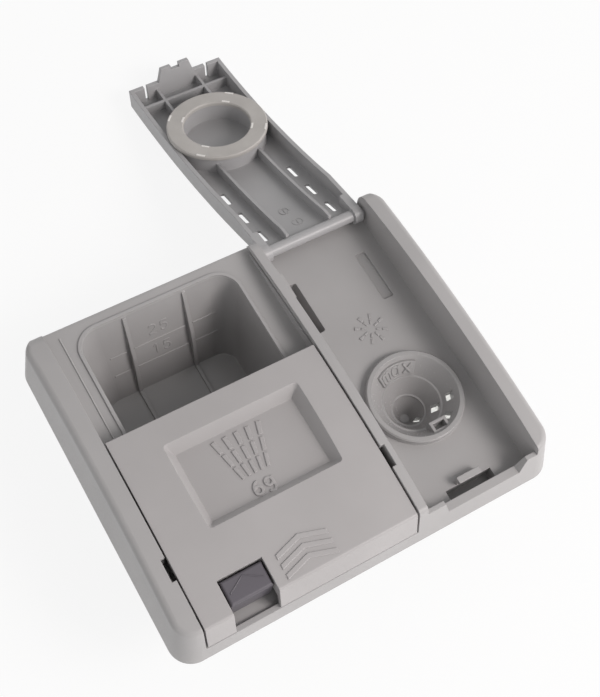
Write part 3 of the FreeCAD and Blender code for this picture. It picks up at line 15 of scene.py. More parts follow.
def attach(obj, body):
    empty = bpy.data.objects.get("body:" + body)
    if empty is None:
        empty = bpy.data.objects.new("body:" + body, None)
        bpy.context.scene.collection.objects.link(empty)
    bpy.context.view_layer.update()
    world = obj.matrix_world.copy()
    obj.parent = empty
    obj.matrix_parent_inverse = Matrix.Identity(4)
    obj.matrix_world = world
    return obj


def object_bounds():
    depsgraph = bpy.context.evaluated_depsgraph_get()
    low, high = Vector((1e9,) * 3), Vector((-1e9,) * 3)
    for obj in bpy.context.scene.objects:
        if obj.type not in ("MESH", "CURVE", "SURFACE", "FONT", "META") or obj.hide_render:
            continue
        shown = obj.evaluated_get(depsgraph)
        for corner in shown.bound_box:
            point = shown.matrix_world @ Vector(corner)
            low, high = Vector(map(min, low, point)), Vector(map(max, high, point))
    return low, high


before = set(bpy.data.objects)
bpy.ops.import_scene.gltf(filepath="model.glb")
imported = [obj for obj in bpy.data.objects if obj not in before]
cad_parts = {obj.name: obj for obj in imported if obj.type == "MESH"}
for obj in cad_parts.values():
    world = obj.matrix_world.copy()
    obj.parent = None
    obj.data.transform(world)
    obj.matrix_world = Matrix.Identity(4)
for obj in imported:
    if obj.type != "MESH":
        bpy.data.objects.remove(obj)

cad_box = [list(corner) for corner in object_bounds()]
MM = 0.001

# %% [markdown]
# Colours are written as sRGB hex values, as a colour picker shows them, and shaders want linear
# light, so one function converts them. A second small function adds any shader node, sets its
# options and fills its inputs with values or links. That keeps each material a short list of steps.

# %% Colour and node helpers
def linear(code):
    channels = []
    for start in (0, 2, 4):
        part = int(code[start:start + 2], 16) / 255
        channels.append(part / 12.92 if part <= 0.04045 else ((part + 0.055) / 1.055) ** 2.4)
    return (*channels, 1.0)


def add(tree, kind, inputs=None, **settings):
    made = tree.nodes.new(kind)
    for name, setting in settings.items():
        setattr(made, name, setting)
    for name, given in (inputs or {}).items():
        if isinstance(given, bpy.types.NodeSocket):
            tree.links.new(given, made.inputs[name])
        else:
            made.inputs[name].default_value = given
    return made


def blank(name):
    material = bpy.data.materials.new(name)
    material.use_nodes = True
    material.node_tree.nodes.clear()
    return material, material.node_tree


print("mid grey in linear light", [round(c, 3) for c in linear("A8A6A6")[:3]])

# %% [markdown]
# Most of the dispenser is polypropylene, injection moulded in a spark-eroded tool. The tool leaves
# a fine matt grain that scatters highlights, and thick and thin walls cool to slightly different
# greys. Real moulded edges are never sharp, so the shader also rounds them a little with a bevelled
# normal. Modelling that round on every edge would cost far more triangles for the same look. Where
# the tool was polished, inside the detergent chamber, the plastic comes out smooth.

# %% Moulded plastic maker
DRIFT_MM = 45  # from a light patch to a dark one
EDGE_MM = 0.45  # round on a moulded edge
POLISH = 0.22  # roughness that a polished tool leaves
POLISH_EDGE_MM = 1  # distance over which polish turns to grain


def outside(tree, place, box):
    # How far a place lies outside a box that is given in millimetres
    low, high = (Vector(corner) * MM for corner in box)
    steps = (("SUBTRACT", (low + high) / 2), ("ABSOLUTE", None), ("SUBTRACT", (high - low) / 2),
             ("MAXIMUM", (0, 0, 0)))
    for operation, other in steps:
        inputs = {0: place} if other is None else {0: place, 1: other}
        place = add(tree, "ShaderNodeVectorMath", inputs, operation=operation).outputs["Vector"]
    return add(tree, "ShaderNodeVectorMath", {0: place}, operation="LENGTH").outputs["Value"]


def moulded_plastic(name, pale, deep, rough, grain_mm=0.9, depth_mm=0.06, polished=None):
    material, tree = blank(name)
    place = add(tree, "ShaderNodeTexCoord").outputs["Object"]
    drift = add(tree, "ShaderNodeTexNoise",
                {"Vector": place, "Scale": 1 / (DRIFT_MM * MM), "Detail": 3.0})
    tone = add(tree, "ShaderNodeValToRGB", {"Fac": drift.outputs["Fac"]})
    tone.color_ramp.elements[0].position = 0.32
    tone.color_ramp.elements[0].color = linear(deep)
    tone.color_ramp.elements[1].position = 0.68
    tone.color_ramp.elements[1].color = linear(pale)
    # The tool's grain is finer than a pixel here, so it is drawn coarser to show at all
    grain = add(tree, "ShaderNodeTexNoise",
                {"Vector": place, "Scale": 1 / (grain_mm * MM), "Detail": 2.0})
    matt = add(tree, "ShaderNodeMapRange",
               {"Value": grain.outputs["Fac"], "From Min": 0.3, "From Max": 0.7,
                "To Min": rough - 0.05, "To Max": rough + 0.06})
    if polished:
        matt = add(tree, "ShaderNodeMapRange",
                   {"Value": outside(tree, place, polished), "From Max": POLISH_EDGE_MM * MM,
                    "To Min": POLISH, "To Max": matt.outputs["Result"]})
    soft = add(tree, "ShaderNodeBevel", {"Radius": EDGE_MM * MM}, samples=6)
    bump = add(tree, "ShaderNodeBump",
               {"Height": grain.outputs["Fac"], "Strength": 0.12, "Distance": depth_mm * MM,
                "Normal": soft.outputs["Normal"]})
    shader = add(tree, "ShaderNodeBsdfPrincipled",
                 {"Base Color": tone.outputs["Color"], "Roughness": matt.outputs["Result"],
                  "IOR": 1.49, "Normal": bump.outputs["Normal"]})
    add(tree, "ShaderNodeOutputMaterial", {"Surface": shader.outputs["BSDF"]})
    return material


print("tone drift", DRIFT_MM, "mm, edge round", EDGE_MM, "mm")

# %% [markdown]
# With the maker, each plastic is one line: its name, a pale and a deep grey, and a roughness. The
# greys were matched to the photograph, and the roughness starts from what such a surface has.

# %% Moulded plastics
CHAMBER_MM = ((-64, -7, -31), (8, 63, 12.5))
# Matt grain with wide, dim highlights, and a sheen in the polished chamber
housing_pp = moulded_plastic("grey polypropylene, matt tool grain", "ACAAAA", "A4A2A2", 0.44,
                             polished=CHAMBER_MM)
# A finer grain, so the ribs show a little more sheen
flap_pp = moulded_plastic("flap polypropylene, fine tool grain", "ACABAC", "A4A3A4", 0.36,
                          depth_mm=0.03)
# Polished so that rinse aid drains, with narrow highlights round the cone
cup_pp = moulded_plastic("filler polypropylene, polished", "A5A3A3", "9E9C9C", 0.22, depth_mm=0.002)
# A shade lighter than the housing
lid_pp = moulded_plastic("lid polypropylene, fine tool grain", "AEABAB", "A7A4A4", 0.4)
# A darker pigment, so that the thumb finds the button
button_pp = moulded_plastic("dark grey polypropylene, satin", "5F5B62", "565258", 0.36)
# Waxy white with a soft sheen
lever_pom = moulded_plastic("natural acetal, satin moulded", "E9E6DC", "DEDACE", 0.34)
# Glass fibres dull the skin
carrier_pbt = moulded_plastic("charcoal polyester, glass filled, matt", "4B4D50", "404245", 0.55,
                              grain_mm=0.7)
# Ivory and dull
bobbin_pbt = moulded_plastic("ivory polyester bobbin, matt", "D9D2BF", "CBC3AE", 0.5)
print("made", housing_pp.name, "and", bobbin_pbt.name)

# %% [markdown]
# The seals are rubber. A moulded seal is softer looking than plastic: almost no highlight, and a
# dusty bloom that lightens it in patches. The ring on the flap is a pale thermoplastic rubber,
# close to the housing's grey, and the gaskets behind are black.

# %% Rubber
BLOOM_MM = 12  # size of a patch of bloom
SKIN_MM = 0.8  # unevenness of the skin, drawn coarser than it is so that it shows
SKIN_DEPTH_MM = 0.08  # how deep that unevenness is
LIP_MM = 0.5  # round on a rubber edge


def moulded_rubber(name, pale, deep, rough):
    material, tree = blank(name)
    place = add(tree, "ShaderNodeTexCoord").outputs["Object"]
    bloom = add(tree, "ShaderNodeTexNoise",
                {"Vector": place, "Scale": 1 / (BLOOM_MM * MM), "Detail": 6.0})
    tone = add(tree, "ShaderNodeValToRGB", {"Fac": bloom.outputs["Fac"]})
    tone.color_ramp.elements[0].position = 0.35
    tone.color_ramp.elements[0].color = linear(deep)
    tone.color_ramp.elements[1].position = 0.7
    tone.color_ramp.elements[1].color = linear(pale)
    skin = add(tree, "ShaderNodeTexNoise",
               {"Vector": place, "Scale": 1 / (SKIN_MM * MM), "Detail": 2.0})
    soft = add(tree, "ShaderNodeBevel", {"Radius": LIP_MM * MM}, samples=6)
    bump = add(tree, "ShaderNodeBump",
               {"Height": skin.outputs["Fac"], "Strength": 0.2, "Distance": SKIN_DEPTH_MM * MM,
                "Normal": soft.outputs["Normal"]})
    shader = add(tree, "ShaderNodeBsdfPrincipled",
                 {"Base Color": tone.outputs["Color"], "Roughness": rough, "IOR": 1.52,
                  "Normal": bump.outputs["Normal"]})
    add(tree, "ShaderNodeOutputMaterial", {"Surface": shader.outputs["BSDF"]})
    return material


# Bright spots on the ring
mark_tpe = moulded_rubber("light rubber where the ring was held", "F0EEEB", "E6E3DF", 0.35)
# Pale and soft, with a faint sheen
ring_tpe = moulded_rubber("pale grey thermoplastic rubber, moulded", "BAB6B2", "AFABA7", 0.42)
# Black and dull
gasket_epdm = moulded_rubber("black rubber gasket, moulded", "2E2F30", "232425", 0.6)
print("made", ring_tpe.name, "and", gasket_epdm.name)

# %% [markdown]
# The rinse-aid tank is moulded from polypropylene in its natural colour: nearly clear, with a waxy
# haze, so that the level inside can be seen. Rough transmission gives the haze, and the flow lines
# of the melt change it a little from place to place. A plain white would look like paint, and clear
# glass like a jar.

# %% Natural polypropylene
FLOW_MM = 25  # from one flow line of the melt to the next
TANK_EDGE_MM = 0.8  # round on the tank's edges
tank_pp, tree = blank("natural polypropylene, hazy, moulded")
place = add(tree, "ShaderNodeTexCoord").outputs["Object"]
flow = add(tree, "ShaderNodeTexNoise",
           {"Vector": place, "Scale": 1 / (FLOW_MM * MM), "Detail": 2.0})
milk = add(tree, "ShaderNodeValToRGB", {"Fac": flow.outputs["Fac"]})
milk.color_ramp.elements[0].color = linear("EDEDE8")
milk.color_ramp.elements[1].color = linear("F8F8F4")
haze = add(tree, "ShaderNodeMapRange",
           {"Value": flow.outputs["Fac"], "From Min": 0.3, "From Max": 0.7, "To Min": 0.14,
            "To Max": 0.24})
soft = add(tree, "ShaderNodeBevel", {"Radius": TANK_EDGE_MM * MM}, samples=6)
shader = add(tree, "ShaderNodeBsdfPrincipled",
             {"Base Color": milk.outputs["Color"], "Roughness": haze.outputs["Result"],
              "IOR": 1.49, "Transmission Weight": 1.0, "Normal": soft.outputs["Normal"]})
add(tree, "ShaderNodeOutputMaterial", {"Surface": shader.outputs["BSDF"]})
print("made", tank_pp.name)

# %% [markdown]
# The metal parts are pressed or turned. Zinc plating is a cool grey with faint rolling lines,
# spring wire is drawn and brighter, brass is warm, and the coil wire is copper under clear enamel.
# One maker serves them all, with a stretched noise for the lines that rolling or drawing leaves.

# %% Metals
LINE_MM = 0.6  # from one rolling line to the next, drawn coarse enough to show
STRETCH = 14  # how many times longer than wide a line is


def worked_metal(name, pale, deep, rough):
    material, tree = blank(name)
    place = add(tree, "ShaderNodeTexCoord").outputs["Object"]
    along = add(tree, "ShaderNodeVectorMath", {0: place, 1: (1, STRETCH, STRETCH)},
                operation="MULTIPLY")
    lines = add(tree, "ShaderNodeTexNoise",
                {"Vector": along.outputs["Vector"], "Scale": 1 / (LINE_MM * STRETCH * MM),
                 "Detail": 3.0})
    tone = add(tree, "ShaderNodeValToRGB", {"Fac": lines.outputs["Fac"]})
    tone.color_ramp.elements[0].color = linear(deep)
    tone.color_ramp.elements[1].color = linear(pale)
    polish = add(tree, "ShaderNodeMapRange",
                 {"Value": lines.outputs["Fac"], "To Min": rough - 0.06, "To Max": rough + 0.08})
    shader = add(tree, "ShaderNodeBsdfPrincipled",
                 {"Base Color": tone.outputs["Color"], "Metallic": 1.0,
                  "Roughness": polish.outputs["Result"]})
    add(tree, "ShaderNodeOutputMaterial", {"Surface": shader.outputs["BSDF"]})
    return material


# Cool grey with a blurred shine
zinc_steel = worked_metal("zinc plated steel, rolled sheet", "C4C7C9", "A9ADB0", 0.36)
# Painted shade: dark, since little light gets into a screw's recess
shade_painted_steel = worked_metal("steel in shadow, pressed recess", "3A3B3C", "2A2B2C", 0.5)
# Brighter and sharper than the sheet
spring_wire = worked_metal("spring steel, drawn wire", "C9CACB", "9FA1A3", 0.28)
# Warm yellow
contact_brass = worked_metal("brass, stamped contact", "D8B768", "BD9A4C", 0.3)
# Reddish, with the gloss of the enamel
coil_copper = worked_metal("enamelled copper wire", "C77B4A", "9E5A33", 0.32)
print("made", zinc_steel.name, "and", coil_copper.name)

# %% [markdown]
# Each CAD node keeps its mesh, and only its material slots are filled. A table from finish to node
# names keeps this in one place, and a count shows that no node was missed.

# %% Finish every CAD node
finishes = {
    housing_pp: ["housing"],
    flap_pp: ["rinse_flap"],
    cup_pp: ["filler_cup"],
    lid_pp: ["detergent_lid"],
    button_pp: ["release_button"],
    ring_tpe: ["flap_seal"],
    gasket_epdm: ["tank_seal", "flange_gasket", "valve_head"],
    tank_pp: ["rinse_tank"],
    carrier_pbt: ["actuator_carrier"],
    bobbin_pbt: ["latch_coil", "valve_coil"],
    lever_pom: ["latch_lever"],
    zinc_steel: ["latch_yoke", "valve_yoke", "latch_plunger", "valve_plunger", "lever_pin",
                 "carrier_screws", "tank_screws", "yoke_screws"],
    spring_wire: ["button_spring", "latch_spring", "valve_spring"],
    contact_brass: ["coil_terminals"],
}
for finish, names in finishes.items():
    for name in names:
        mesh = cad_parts[name].data
        mesh.materials.clear()
        mesh.materials.append(finish)
print("finished", sum(len(names) for names in finishes.values()), "of", len(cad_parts))

# %% [markdown]
# Every added piece is made the same way: a mesh form gets its faces turned outwards and becomes an
# object with one finish, which rides on a body of the model.


def piece(name, form, body, finish):
    bmesh.ops.recalc_face_normals(form, faces=form.faces)
    mesh = bpy.data.meshes.new(name)
    form.to_mesh(mesh)
    form.free()
    mesh.materials.append(finish)
    made = bpy.data.objects.new(name, mesh)
    bpy.context.collection.objects.link(made)
    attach(made, body)


# %% [markdown]
# Moulded marks are shallow raised outlines on flat or curved faces. Each is drawn as a plain
# polygon in millimetres on its face, then lifted into a low prism with a sloped shoulder, because
# the tool that makes it needs draft. A placing function turns face coordinates into model
# coordinates, so the same maker works on a flat wall, on the crowned lid and in the filler's cone.

# %% Raised outlines
SINK = 0.3  # how far a mark reaches into its face, so that no gap shows
SHOULDER_START = 0.45  # share of the height at which the slope begins
SLOPE = 0.18  # how far the top is drawn in
SHARPEST = 0.35  # keeps sharp corners from moving too far


def shrink(corners, step):
    moved = []
    for i, here in enumerate(corners):
        before = Vector(corners[i - 1])
        after = Vector(corners[(i + 1) % len(corners)])
        here = Vector(here)
        one = (here - before).normalized()
        two = (after - here).normalized()
        inward = Vector((-one.y, one.x)) + Vector((-two.y, two.x))
        inward.normalize()
        spread = max(SHARPEST, inward.dot(Vector((-one.y, one.x))))
        moved.append(tuple(here + inward * step / spread))
    return moved


def raised(name, outlines, place, height, body, finish):
    form = bmesh.new()
    for corners in outlines:
        rings = ((corners, -SINK), (corners, height * SHOULDER_START),
                 (shrink(corners, SLOPE), height))
        levels = []
        for ring, lift in rings:
            levels.append([form.verts.new(place(u, v, lift)) for u, v in ring])
        for low, high in zip(levels, levels[1:]):
            for i in range(len(low)):
                j = (i + 1) % len(low)
                form.faces.new((low[i], low[j], high[j], high[i]))
        form.faces.new(levels[-1])
        form.faces.new(list(reversed(levels[0])))
    piece(name, form, body, finish)


def bar(start, end, width_start, width_end):
    one, two = Vector(start), Vector(end)
    way = (two - one).normalized()
    side = Vector((-way.y, way.x))
    return [tuple(one - side * width_start / 2), tuple(two - side * width_end / 2),
            tuple(two + side * width_end / 2), tuple(one + side * width_start / 2)]


print("marks reach", SINK, "mm into their faces")

# %% [markdown]
# Other marks are lines of one width, as a cutter leaves them in the mould. A stroke sweeps a low
# profile along its points. Where lines cross, their heights differ slightly, so that no two faces
# lie in one plane and flicker.

# %% Strokes
LAYERS = 4  # number of different heights
LAYER_DROP = 0.06  # share of the height lost from one to the next
LAYER_SINK = 0.02  # and how much deeper each one reaches


def stroke(form, points, place, width, height, closed, shoulder, sink):
    inset = width / 2 - shoulder
    start = height * SHOULDER_START
    profile = ((-width / 2, -sink), (-width / 2, start), (-inset, height), (inset, height),
               (width / 2, start), (width / 2, -sink))
    rows = []
    for i, spot in enumerate(points):
        here = Vector(spot)
        before = Vector(points[i - 1]) if closed or i else here
        last = i + 1 == len(points)
        after = here if last and not closed else Vector(points[(i + 1) % len(points)])
        way = (after - before).normalized()
        side = Vector((-way.y, way.x))
        row = []
        for across, lift in profile:
            at = here + side * across
            row.append(form.verts.new(place(at.x, at.y, lift)))
        rows.append(row)
    # An open line gets flat ends
    faces = [] if closed else [rows[0][::-1], rows[-1]]
    for one, two in zip(rows, rows[1:] + ([rows[0]] if closed else [])):
        for i in range(len(profile)):
            j = (i + 1) % len(profile)
            faces.append((one[i], one[j], two[j], two[i]))
    for corners in faces:
        form.faces.new(corners)


def strokes(name, lines, place, width, height, body, finish, closed=False, shoulder=0.15):
    form = bmesh.new()
    for i, points in enumerate(lines):
        layer = i % LAYERS
        stroke(form, points, place, width, height * (1 - LAYER_DROP * layer), closed, shoulder,
               SINK + LAYER_SINK * layer)
    piece(name, form, body, finish)


def arc(x, y, wide, tall, start, end, steps=14):
    turns = [math.radians(start + (end - start) * i / steps) for i in range(steps + 1)]
    return [(x + wide * math.cos(turn), y + tall * math.sin(turn)) for turn in turns]


print("points in a full arc", len(arc(0, 0, 1, 1, 0, 360)))

# %% [markdown]
# Letters in a mould are cut with one round cutter, so they are strokes along simple lines and arcs,
# not a font. Each letter is drawn in a box about one unit wide and high.

# %% Letters
GLYPHS = {
    "1": [[(0.2, 0.76), (0.48, 0.98), (0.5, 0.94), (0.5, 0.0)]],
    "2": [arc(0.48, 0.69, 0.36, 0.29, 165, -35) + [(0.12, 0.04), (0.14, 0.0), (0.88, 0.0)]],
    "5": [[(0.84, 0.98), (0.24, 0.98), (0.2, 0.95), (0.16, 0.52)],
          arc(0.46, 0.32, 0.38, 0.32, 140, -150)],
    "6": [arc(0.5, 0.31, 0.37, 0.31, -180, 180), arc(0.79, 0.31, 0.66, 0.67, 92, 180)],
    "g": [arc(0.48, 0.6, 0.36, 0.3, -180, 180),
          [(0.86, 0.92), (0.86, 0.12)] + arc(0.5, 0.12, 0.36, 0.3, 0, -150)],
    "m": [[(0.04, 0.7), (0.04, 0.0)],
          arc(0.27, 0.45, 0.23, 0.25, 180, 0) + [(0.5, 0.0)],
          arc(0.73, 0.45, 0.23, 0.25, 180, 0) + [(0.96, 0.0)]],
    "a": [arc(0.42, 0.34, 0.36, 0.34, -180, 180), [(0.8, 0.7), (0.8, 0.0)]],
    "x": [[(0.08, 0.7), (0.88, 0.0)], [(0.88, 0.7), (0.08, 0.0)]],
}


def lettering(name, words, place, tall, wide, gap, width, height, body, finish):
    # The letters stand side by side, with the middle of the word at the placing function's origin
    start = -(len(words) * (wide + gap) - gap) / 2
    lines = []
    for i, sign in enumerate(words):
        left = start + i * (wide + gap)
        for points in GLYPHS[sign]:
            lines.append([(left + u * wide, (v - 0.5) * tall) for u, v in points])
    strokes(name, lines, place, width, height, body, finish)


print("letters drawn", len(GLYPHS))

# %% [markdown]
# Inside the detergent chamber the sloping far wall carries two fill lines, with their amounts above
# them. The ribs cut each line in three.

# %% Fill lines in the chamber
WALL_LIP = Vector((0, 62.5, 13.5))
WALL_UP = Vector((0, 15.6, 43.5)).normalized()
WALL_OUT = Vector((0, -43.5, 15.6)).normalized()
WALL_MIDDLE = -28  # between the ribs, across the wall
LINE_HALF = 0.35  # half the width of a fill line
FILL_LINES = {
    "upper": (-5.8, ((-51.7, -43.6), (-40.4, -15.6), (-12.6, -1.3))),
    "lower": (-16.2, ((-51.5, -43.6), (-40.4, -15.6), (-12.6, -0.8))),
}


def on_far_wall(x, z, lift):
    along = (z - WALL_LIP.z) / WALL_UP.z
    spot = WALL_LIP + WALL_UP * along + WALL_OUT * lift
    return Vector((x, spot.y, spot.z)) * MM


def wall_text(z):
    return lambda u, v, lift: on_far_wall(u + WALL_MIDDLE, z + v * WALL_UP.z, lift)


for label, (z, spans) in FILL_LINES.items():
    low, high = z - LINE_HALF, z + LINE_HALF
    lines = [[(a, low), (b, low), (b, high), (a, high)] for a, b in spans]
    raised("fill_line_" + label, lines, on_far_wall, height=0.35, body="base",
           finish=housing_pp)
lettering("fill_amount_upper", "25", wall_text(0.2), tall=5.2, wide=4.2, gap=1.2, width=0.8,
          height=0.22, body="base", finish=housing_pp)
lettering("fill_amount_lower", "15", wall_text(-10.8), tall=5.2, wide=4.2, gap=0.8, width=0.8,
          height=0.22, body="base", finish=housing_pp)
print("fill lines made", len(FILL_LINES))

# %% [markdown]
# The ledge round the chamber drains along its sides. A low ridge on either side, next to the rail,
# keeps the water off the chamber's lip.

# %% Ridges on the ledge
def on_ledge(x, y, lift):
    return Vector((x, y, WALL_LIP.z + lift)) * MM


ridges = [[(-69.4, -6.0), (-69.4, 64.4)], [(20.2, -6.0), (20.2, 62.6)]]
strokes("ledge_ridges", ridges, on_ledge, width=0.7, height=0.3, body="base",
        finish=housing_pp, shoulder=0.2)
print("ledge ridges made", len(ridges))

# %% [markdown]
# The lid's dish shows a pre-wash spray as five raised bars that fan out, each cut in three dashes,
# with the amount below. The bars get wider towards their heads.

# %% Spray fan and amount in the dish
DISH_FLOOR = 17.8
AMOUNT = (-27.9, -30.3)
FAN_BARS = 5
FAN_FOOT, FOOT_PITCH = Vector((-33.3, -24.3)), 2.75
FAN_HEAD, HEAD_PITCH = Vector((-37.4, -4.7)), 5.2
FAN_DASHES = 3
DASH_GAP = 0.045  # share of the bar's length
BAR_WIDTH, BAR_GROWTH = 1.5, 0.6


def on_dish(x, y, lift):
    return Vector((x, y, DISH_FLOOR + lift)) * MM


fan = []
for i in range(FAN_BARS):
    foot = FAN_FOOT + Vector((FOOT_PITCH * i, 0))
    head = FAN_HEAD + Vector((HEAD_PITCH * i, 0))
    for j in range(FAN_DASHES):
        start, end = j / FAN_DASHES, (j + 1) / FAN_DASHES - DASH_GAP
        fan.append(bar(foot.lerp(head, start), foot.lerp(head, end),
                       BAR_WIDTH + BAR_GROWTH * start, BAR_WIDTH + BAR_GROWTH * end))
raised("spray_fan", fan, on_dish, height=0.45, body="lid", finish=lid_pp)
lettering("dish_amount", "6g", lambda u, v, lift: on_dish(u + AMOUNT[0], v + AMOUNT[1], lift),
          tall=5.4, wide=4.3, gap=1.0, width=1.25, height=0.55, body="lid", finish=lid_pp)
print("dashes in the fan", len(fan))

# %% [markdown]
# The lid's front carries three chevrons that point the way it slides. The lid's top is a crowned
# sheet, part of a large cylinder, so the placing function bends flat coordinates round its axis.

# %% Chevrons on the lid
CROWN_CENTRE = (-8.8, -483.0)
LID_CROWN = 506.4
CHEVRON = ((-38.6, -5.6), (-27.3, -2.3), (-16.0, -5.6), (-16.3, -3.4), (-27.3, 0), (-38.6, -3.4))
CHEVRONS, CHEVRON_Y, CHEVRON_PITCH = 3, -53.8, 4.1


def on_lid(x, y, lift):
    reach = LID_CROWN + lift
    along = (y - CROWN_CENTRE[0]) / LID_CROWN
    rise = math.cos(math.asin(along))
    return Vector((x, CROWN_CENTRE[0] + along * reach, CROWN_CENTRE[1] + rise * reach)) * MM


chevrons = []
for i in range(CHEVRONS):
    tip = CHEVRON_Y - CHEVRON_PITCH * i
    chevrons.append([(x, tip + y) for x, y in CHEVRON])
raised("slide_chevrons", chevrons, on_lid, height=0.4, body="lid", finish=lid_pp)
print("chevrons made", len(chevrons))

# %% [markdown]
# The floor of the rinse-aid bay carries the usual star for rinse aid: eight rays round an open
# centre, each in two dashes.

# %% Star in the rinse-aid bay
BAY_FLOOR = 5.4
STAR = Vector((50.9, 13.2))
STAR_TURN = 19
RAYS = 8
RAY_DASHES = ((2.2, 4.3, 0.8, 1.1), (4.9, 7.3, 1.1, 1.5))  # start, end, width at each


def on_bay(x, y, lift):
    return Vector((x, y, BAY_FLOOR + lift)) * MM


rays = []
for i in range(RAYS):
    angle = math.radians(360 / RAYS * i + STAR_TURN)
    way = Vector((math.cos(angle), math.sin(angle)))
    for start, end, width_start, width_end in RAY_DASHES:
        rays.append(bar(STAR + way * start, STAR + way * end, width_start, width_end))
raised("rinse_aid_star", rays, on_bay, height=0.35, body="base", finish=housing_pp)
print("dashes in the star", len(rays))

# %% [markdown]
# In the filler a raised plate on the cone says how full it may be. The plate is one wide stroke
# round the cone, and its letters stand on the plate.

# %% Fill plate in the filler
CUP = (50.05, -22.9)
WAIST = (13.1, 0.7)  # radius and height at the foot of the cone
RIM = (18.7, 8.6)
PLATE_RADIUS = 15.8  # turns a length round the cone into an angle
PLATE_START, PLATE_STEP, PLATE_POINTS = -9.4, 0.775, 25
PLATE_UP, PLATE_HEIGHT = 4.15, 1.1
WORD_UP = 5.1
slant = Vector((RIM[0] - WAIST[0], RIM[1] - WAIST[1])).normalized()


def on_cone(u, v, lift):
    radius = WAIST[0] + slant.x * v - slant.y * lift
    angle = math.radians(90) - u / PLATE_RADIUS
    height = WAIST[1] + slant.y * v + slant.x * lift
    return Vector((CUP[0] + radius * math.cos(angle), CUP[1] + radius * math.sin(angle),
                   height)) * MM


plate = [(PLATE_START + PLATE_STEP * i, PLATE_UP) for i in range(PLATE_POINTS)]
strokes("fill_plate", [plate], on_cone, width=6.5, height=PLATE_HEIGHT, body="base",
        finish=cup_pp)
lettering("fill_plate_words", "max",
          lambda u, v, lift: on_cone(u, v + WORD_UP, lift + PLATE_HEIGHT),
          tall=6.4, wide=4.8, gap=0.9, width=1.0, height=0.5, body="base", finish=cup_pp)
print("plate points", len(plate))

# %% [markdown]
# The flap shows its inside. The seal ring carries four small bright marks on its outer rim and four
# on its inner rim, where it was held while the rubber set, and the plate near the hinge carries two
# mould clocks, the little dials that tell when it was moulded. The flap is drawn open, so a placing
# function tilts flat flap coordinates about the hinge.

# %% Marks on the flap
HINGE = Vector((50.05, 63.9, 9.8))
DROOP = math.radians(-15.1)
RING_Y = 86.8
RING_FACE = 0.9
MARK_ANGLES = (47, 138, -37, -137)
MARK_RIMS = ((23.5, 5.2), (17.0, 6.6))  # radius and half angle of the outer and inner marks
PLATE_MIDDLE, PLATE_LOWEST, PLATE_CURVE = 87.1, -9.3, 800
CLOCKS = ((-0.9, 22.0, 2.2), (0.0, 11.4, 2.4))  # place and radius of each dial
POINTER_HALF, POINTER_BACK, POINTER_TIP = 0.18, 0.6, 0.65


def on_flap(x, y, z):
    tilted = Matrix.Rotation(DROOP, 3, "X") @ Vector((x, y, z))
    return (HINGE + tilted) * MM


def on_ring(x, y, lift):
    return on_flap(x, RING_Y + y, RING_FACE + lift)


def on_plate(x, y, lift):
    return on_flap(x, y, PLATE_LOWEST + (y - PLATE_MIDDLE) ** 2 / PLATE_CURVE + lift)


marks = []
for radius, half in MARK_RIMS:
    for middle in MARK_ANGLES:
        marks.append(arc(0, 0, radius, radius, middle - half, middle + half, steps=6))
strokes("seal_marks", marks, on_ring, width=1.0, height=0.14, body="flap", finish=mark_tpe,
        shoulder=0.1)
clocks = []
for x, y, radius in CLOCKS:
    clocks.append(arc(x, y, radius, radius, 0, 345, steps=23))
    back = y - radius * POINTER_BACK
    clocks.append([(x - POINTER_HALF, back), (x + POINTER_HALF, back),
                   (x, y + radius * POINTER_TIP)])
strokes("mould_clocks", clocks, on_plate, width=0.45, height=0.32, body="flap", finish=flap_pp,
        closed=True, shoulder=0.08)
print("marks on the ring", len(marks), "mould clocks", len(CLOCKS))

# %% [markdown]
# The button has a thin chevron that points where the lid goes. It sits on the button's sloping top
# and rides with it.

# %% Chevron on the button
BUTTON_BACK, BUTTON_TOP, BUTTON_SLOPE = -56.1, 20.5, 10.1


def on_button(x, y, lift):
    return Vector((x, y, BUTTON_TOP + (y - BUTTON_BACK) / BUTTON_SLOPE + lift)) * MM


chevron = [(-60.2, -62.0), (-53.2, -57.9), (-53.0, -57.8), (-52.8, -57.9), (-45.8, -62.0)]
strokes("button_chevron", [chevron], on_button, width=0.5, height=0.2, body="button",
        finish=button_pp, shoulder=0.12)
print("points in the chevron", len(chevron))

# %% [markdown]
# Behind, each magnet's bobbin is wound with enamelled copper wire. One turned sleeve with a ridge
# for every turn of wire shows the winding. Sweeping every real turn would cost far more and look
# the same.

# %% Windings
TURNS = 20
WINDING_LENGTH = 13.9
WINDING_Z = -9.6
BORE, VALLEY, RIDGE = 8.42, 8.5, 8.85  # radii
AROUND = 40


def winding(name, start, y):
    profile = [(start, BORE)]
    for i in range(2 * TURNS + 1):
        along = start + WINDING_LENGTH * i / (2 * TURNS)
        profile.append((along, VALLEY if i % 2 == 0 else RIDGE))
    profile.append((start + WINDING_LENGTH, BORE))
    form = bmesh.new()
    rings = []
    for x, radius in profile:
        ring = []
        for k in range(AROUND):
            angle = 2 * math.pi * k / AROUND
            spot = Vector((x, y + radius * math.cos(angle), WINDING_Z + radius * math.sin(angle)))
            ring.append(form.verts.new(spot * MM))
        rings.append(ring)
    for one, two in zip(rings, rings[1:] + rings[:1]):
        for k in range(AROUND):
            m = (k + 1) % AROUND
            form.faces.new((one[k], one[m], two[m], two[k])).smooth = True
    piece(name, form, "base", coil_copper)


winding("latch_winding", start=-58.6, y=-26.2)
winding("valve_winding", start=-15.1, y=-48.0)
print("turns on each bobbin", TURNS)
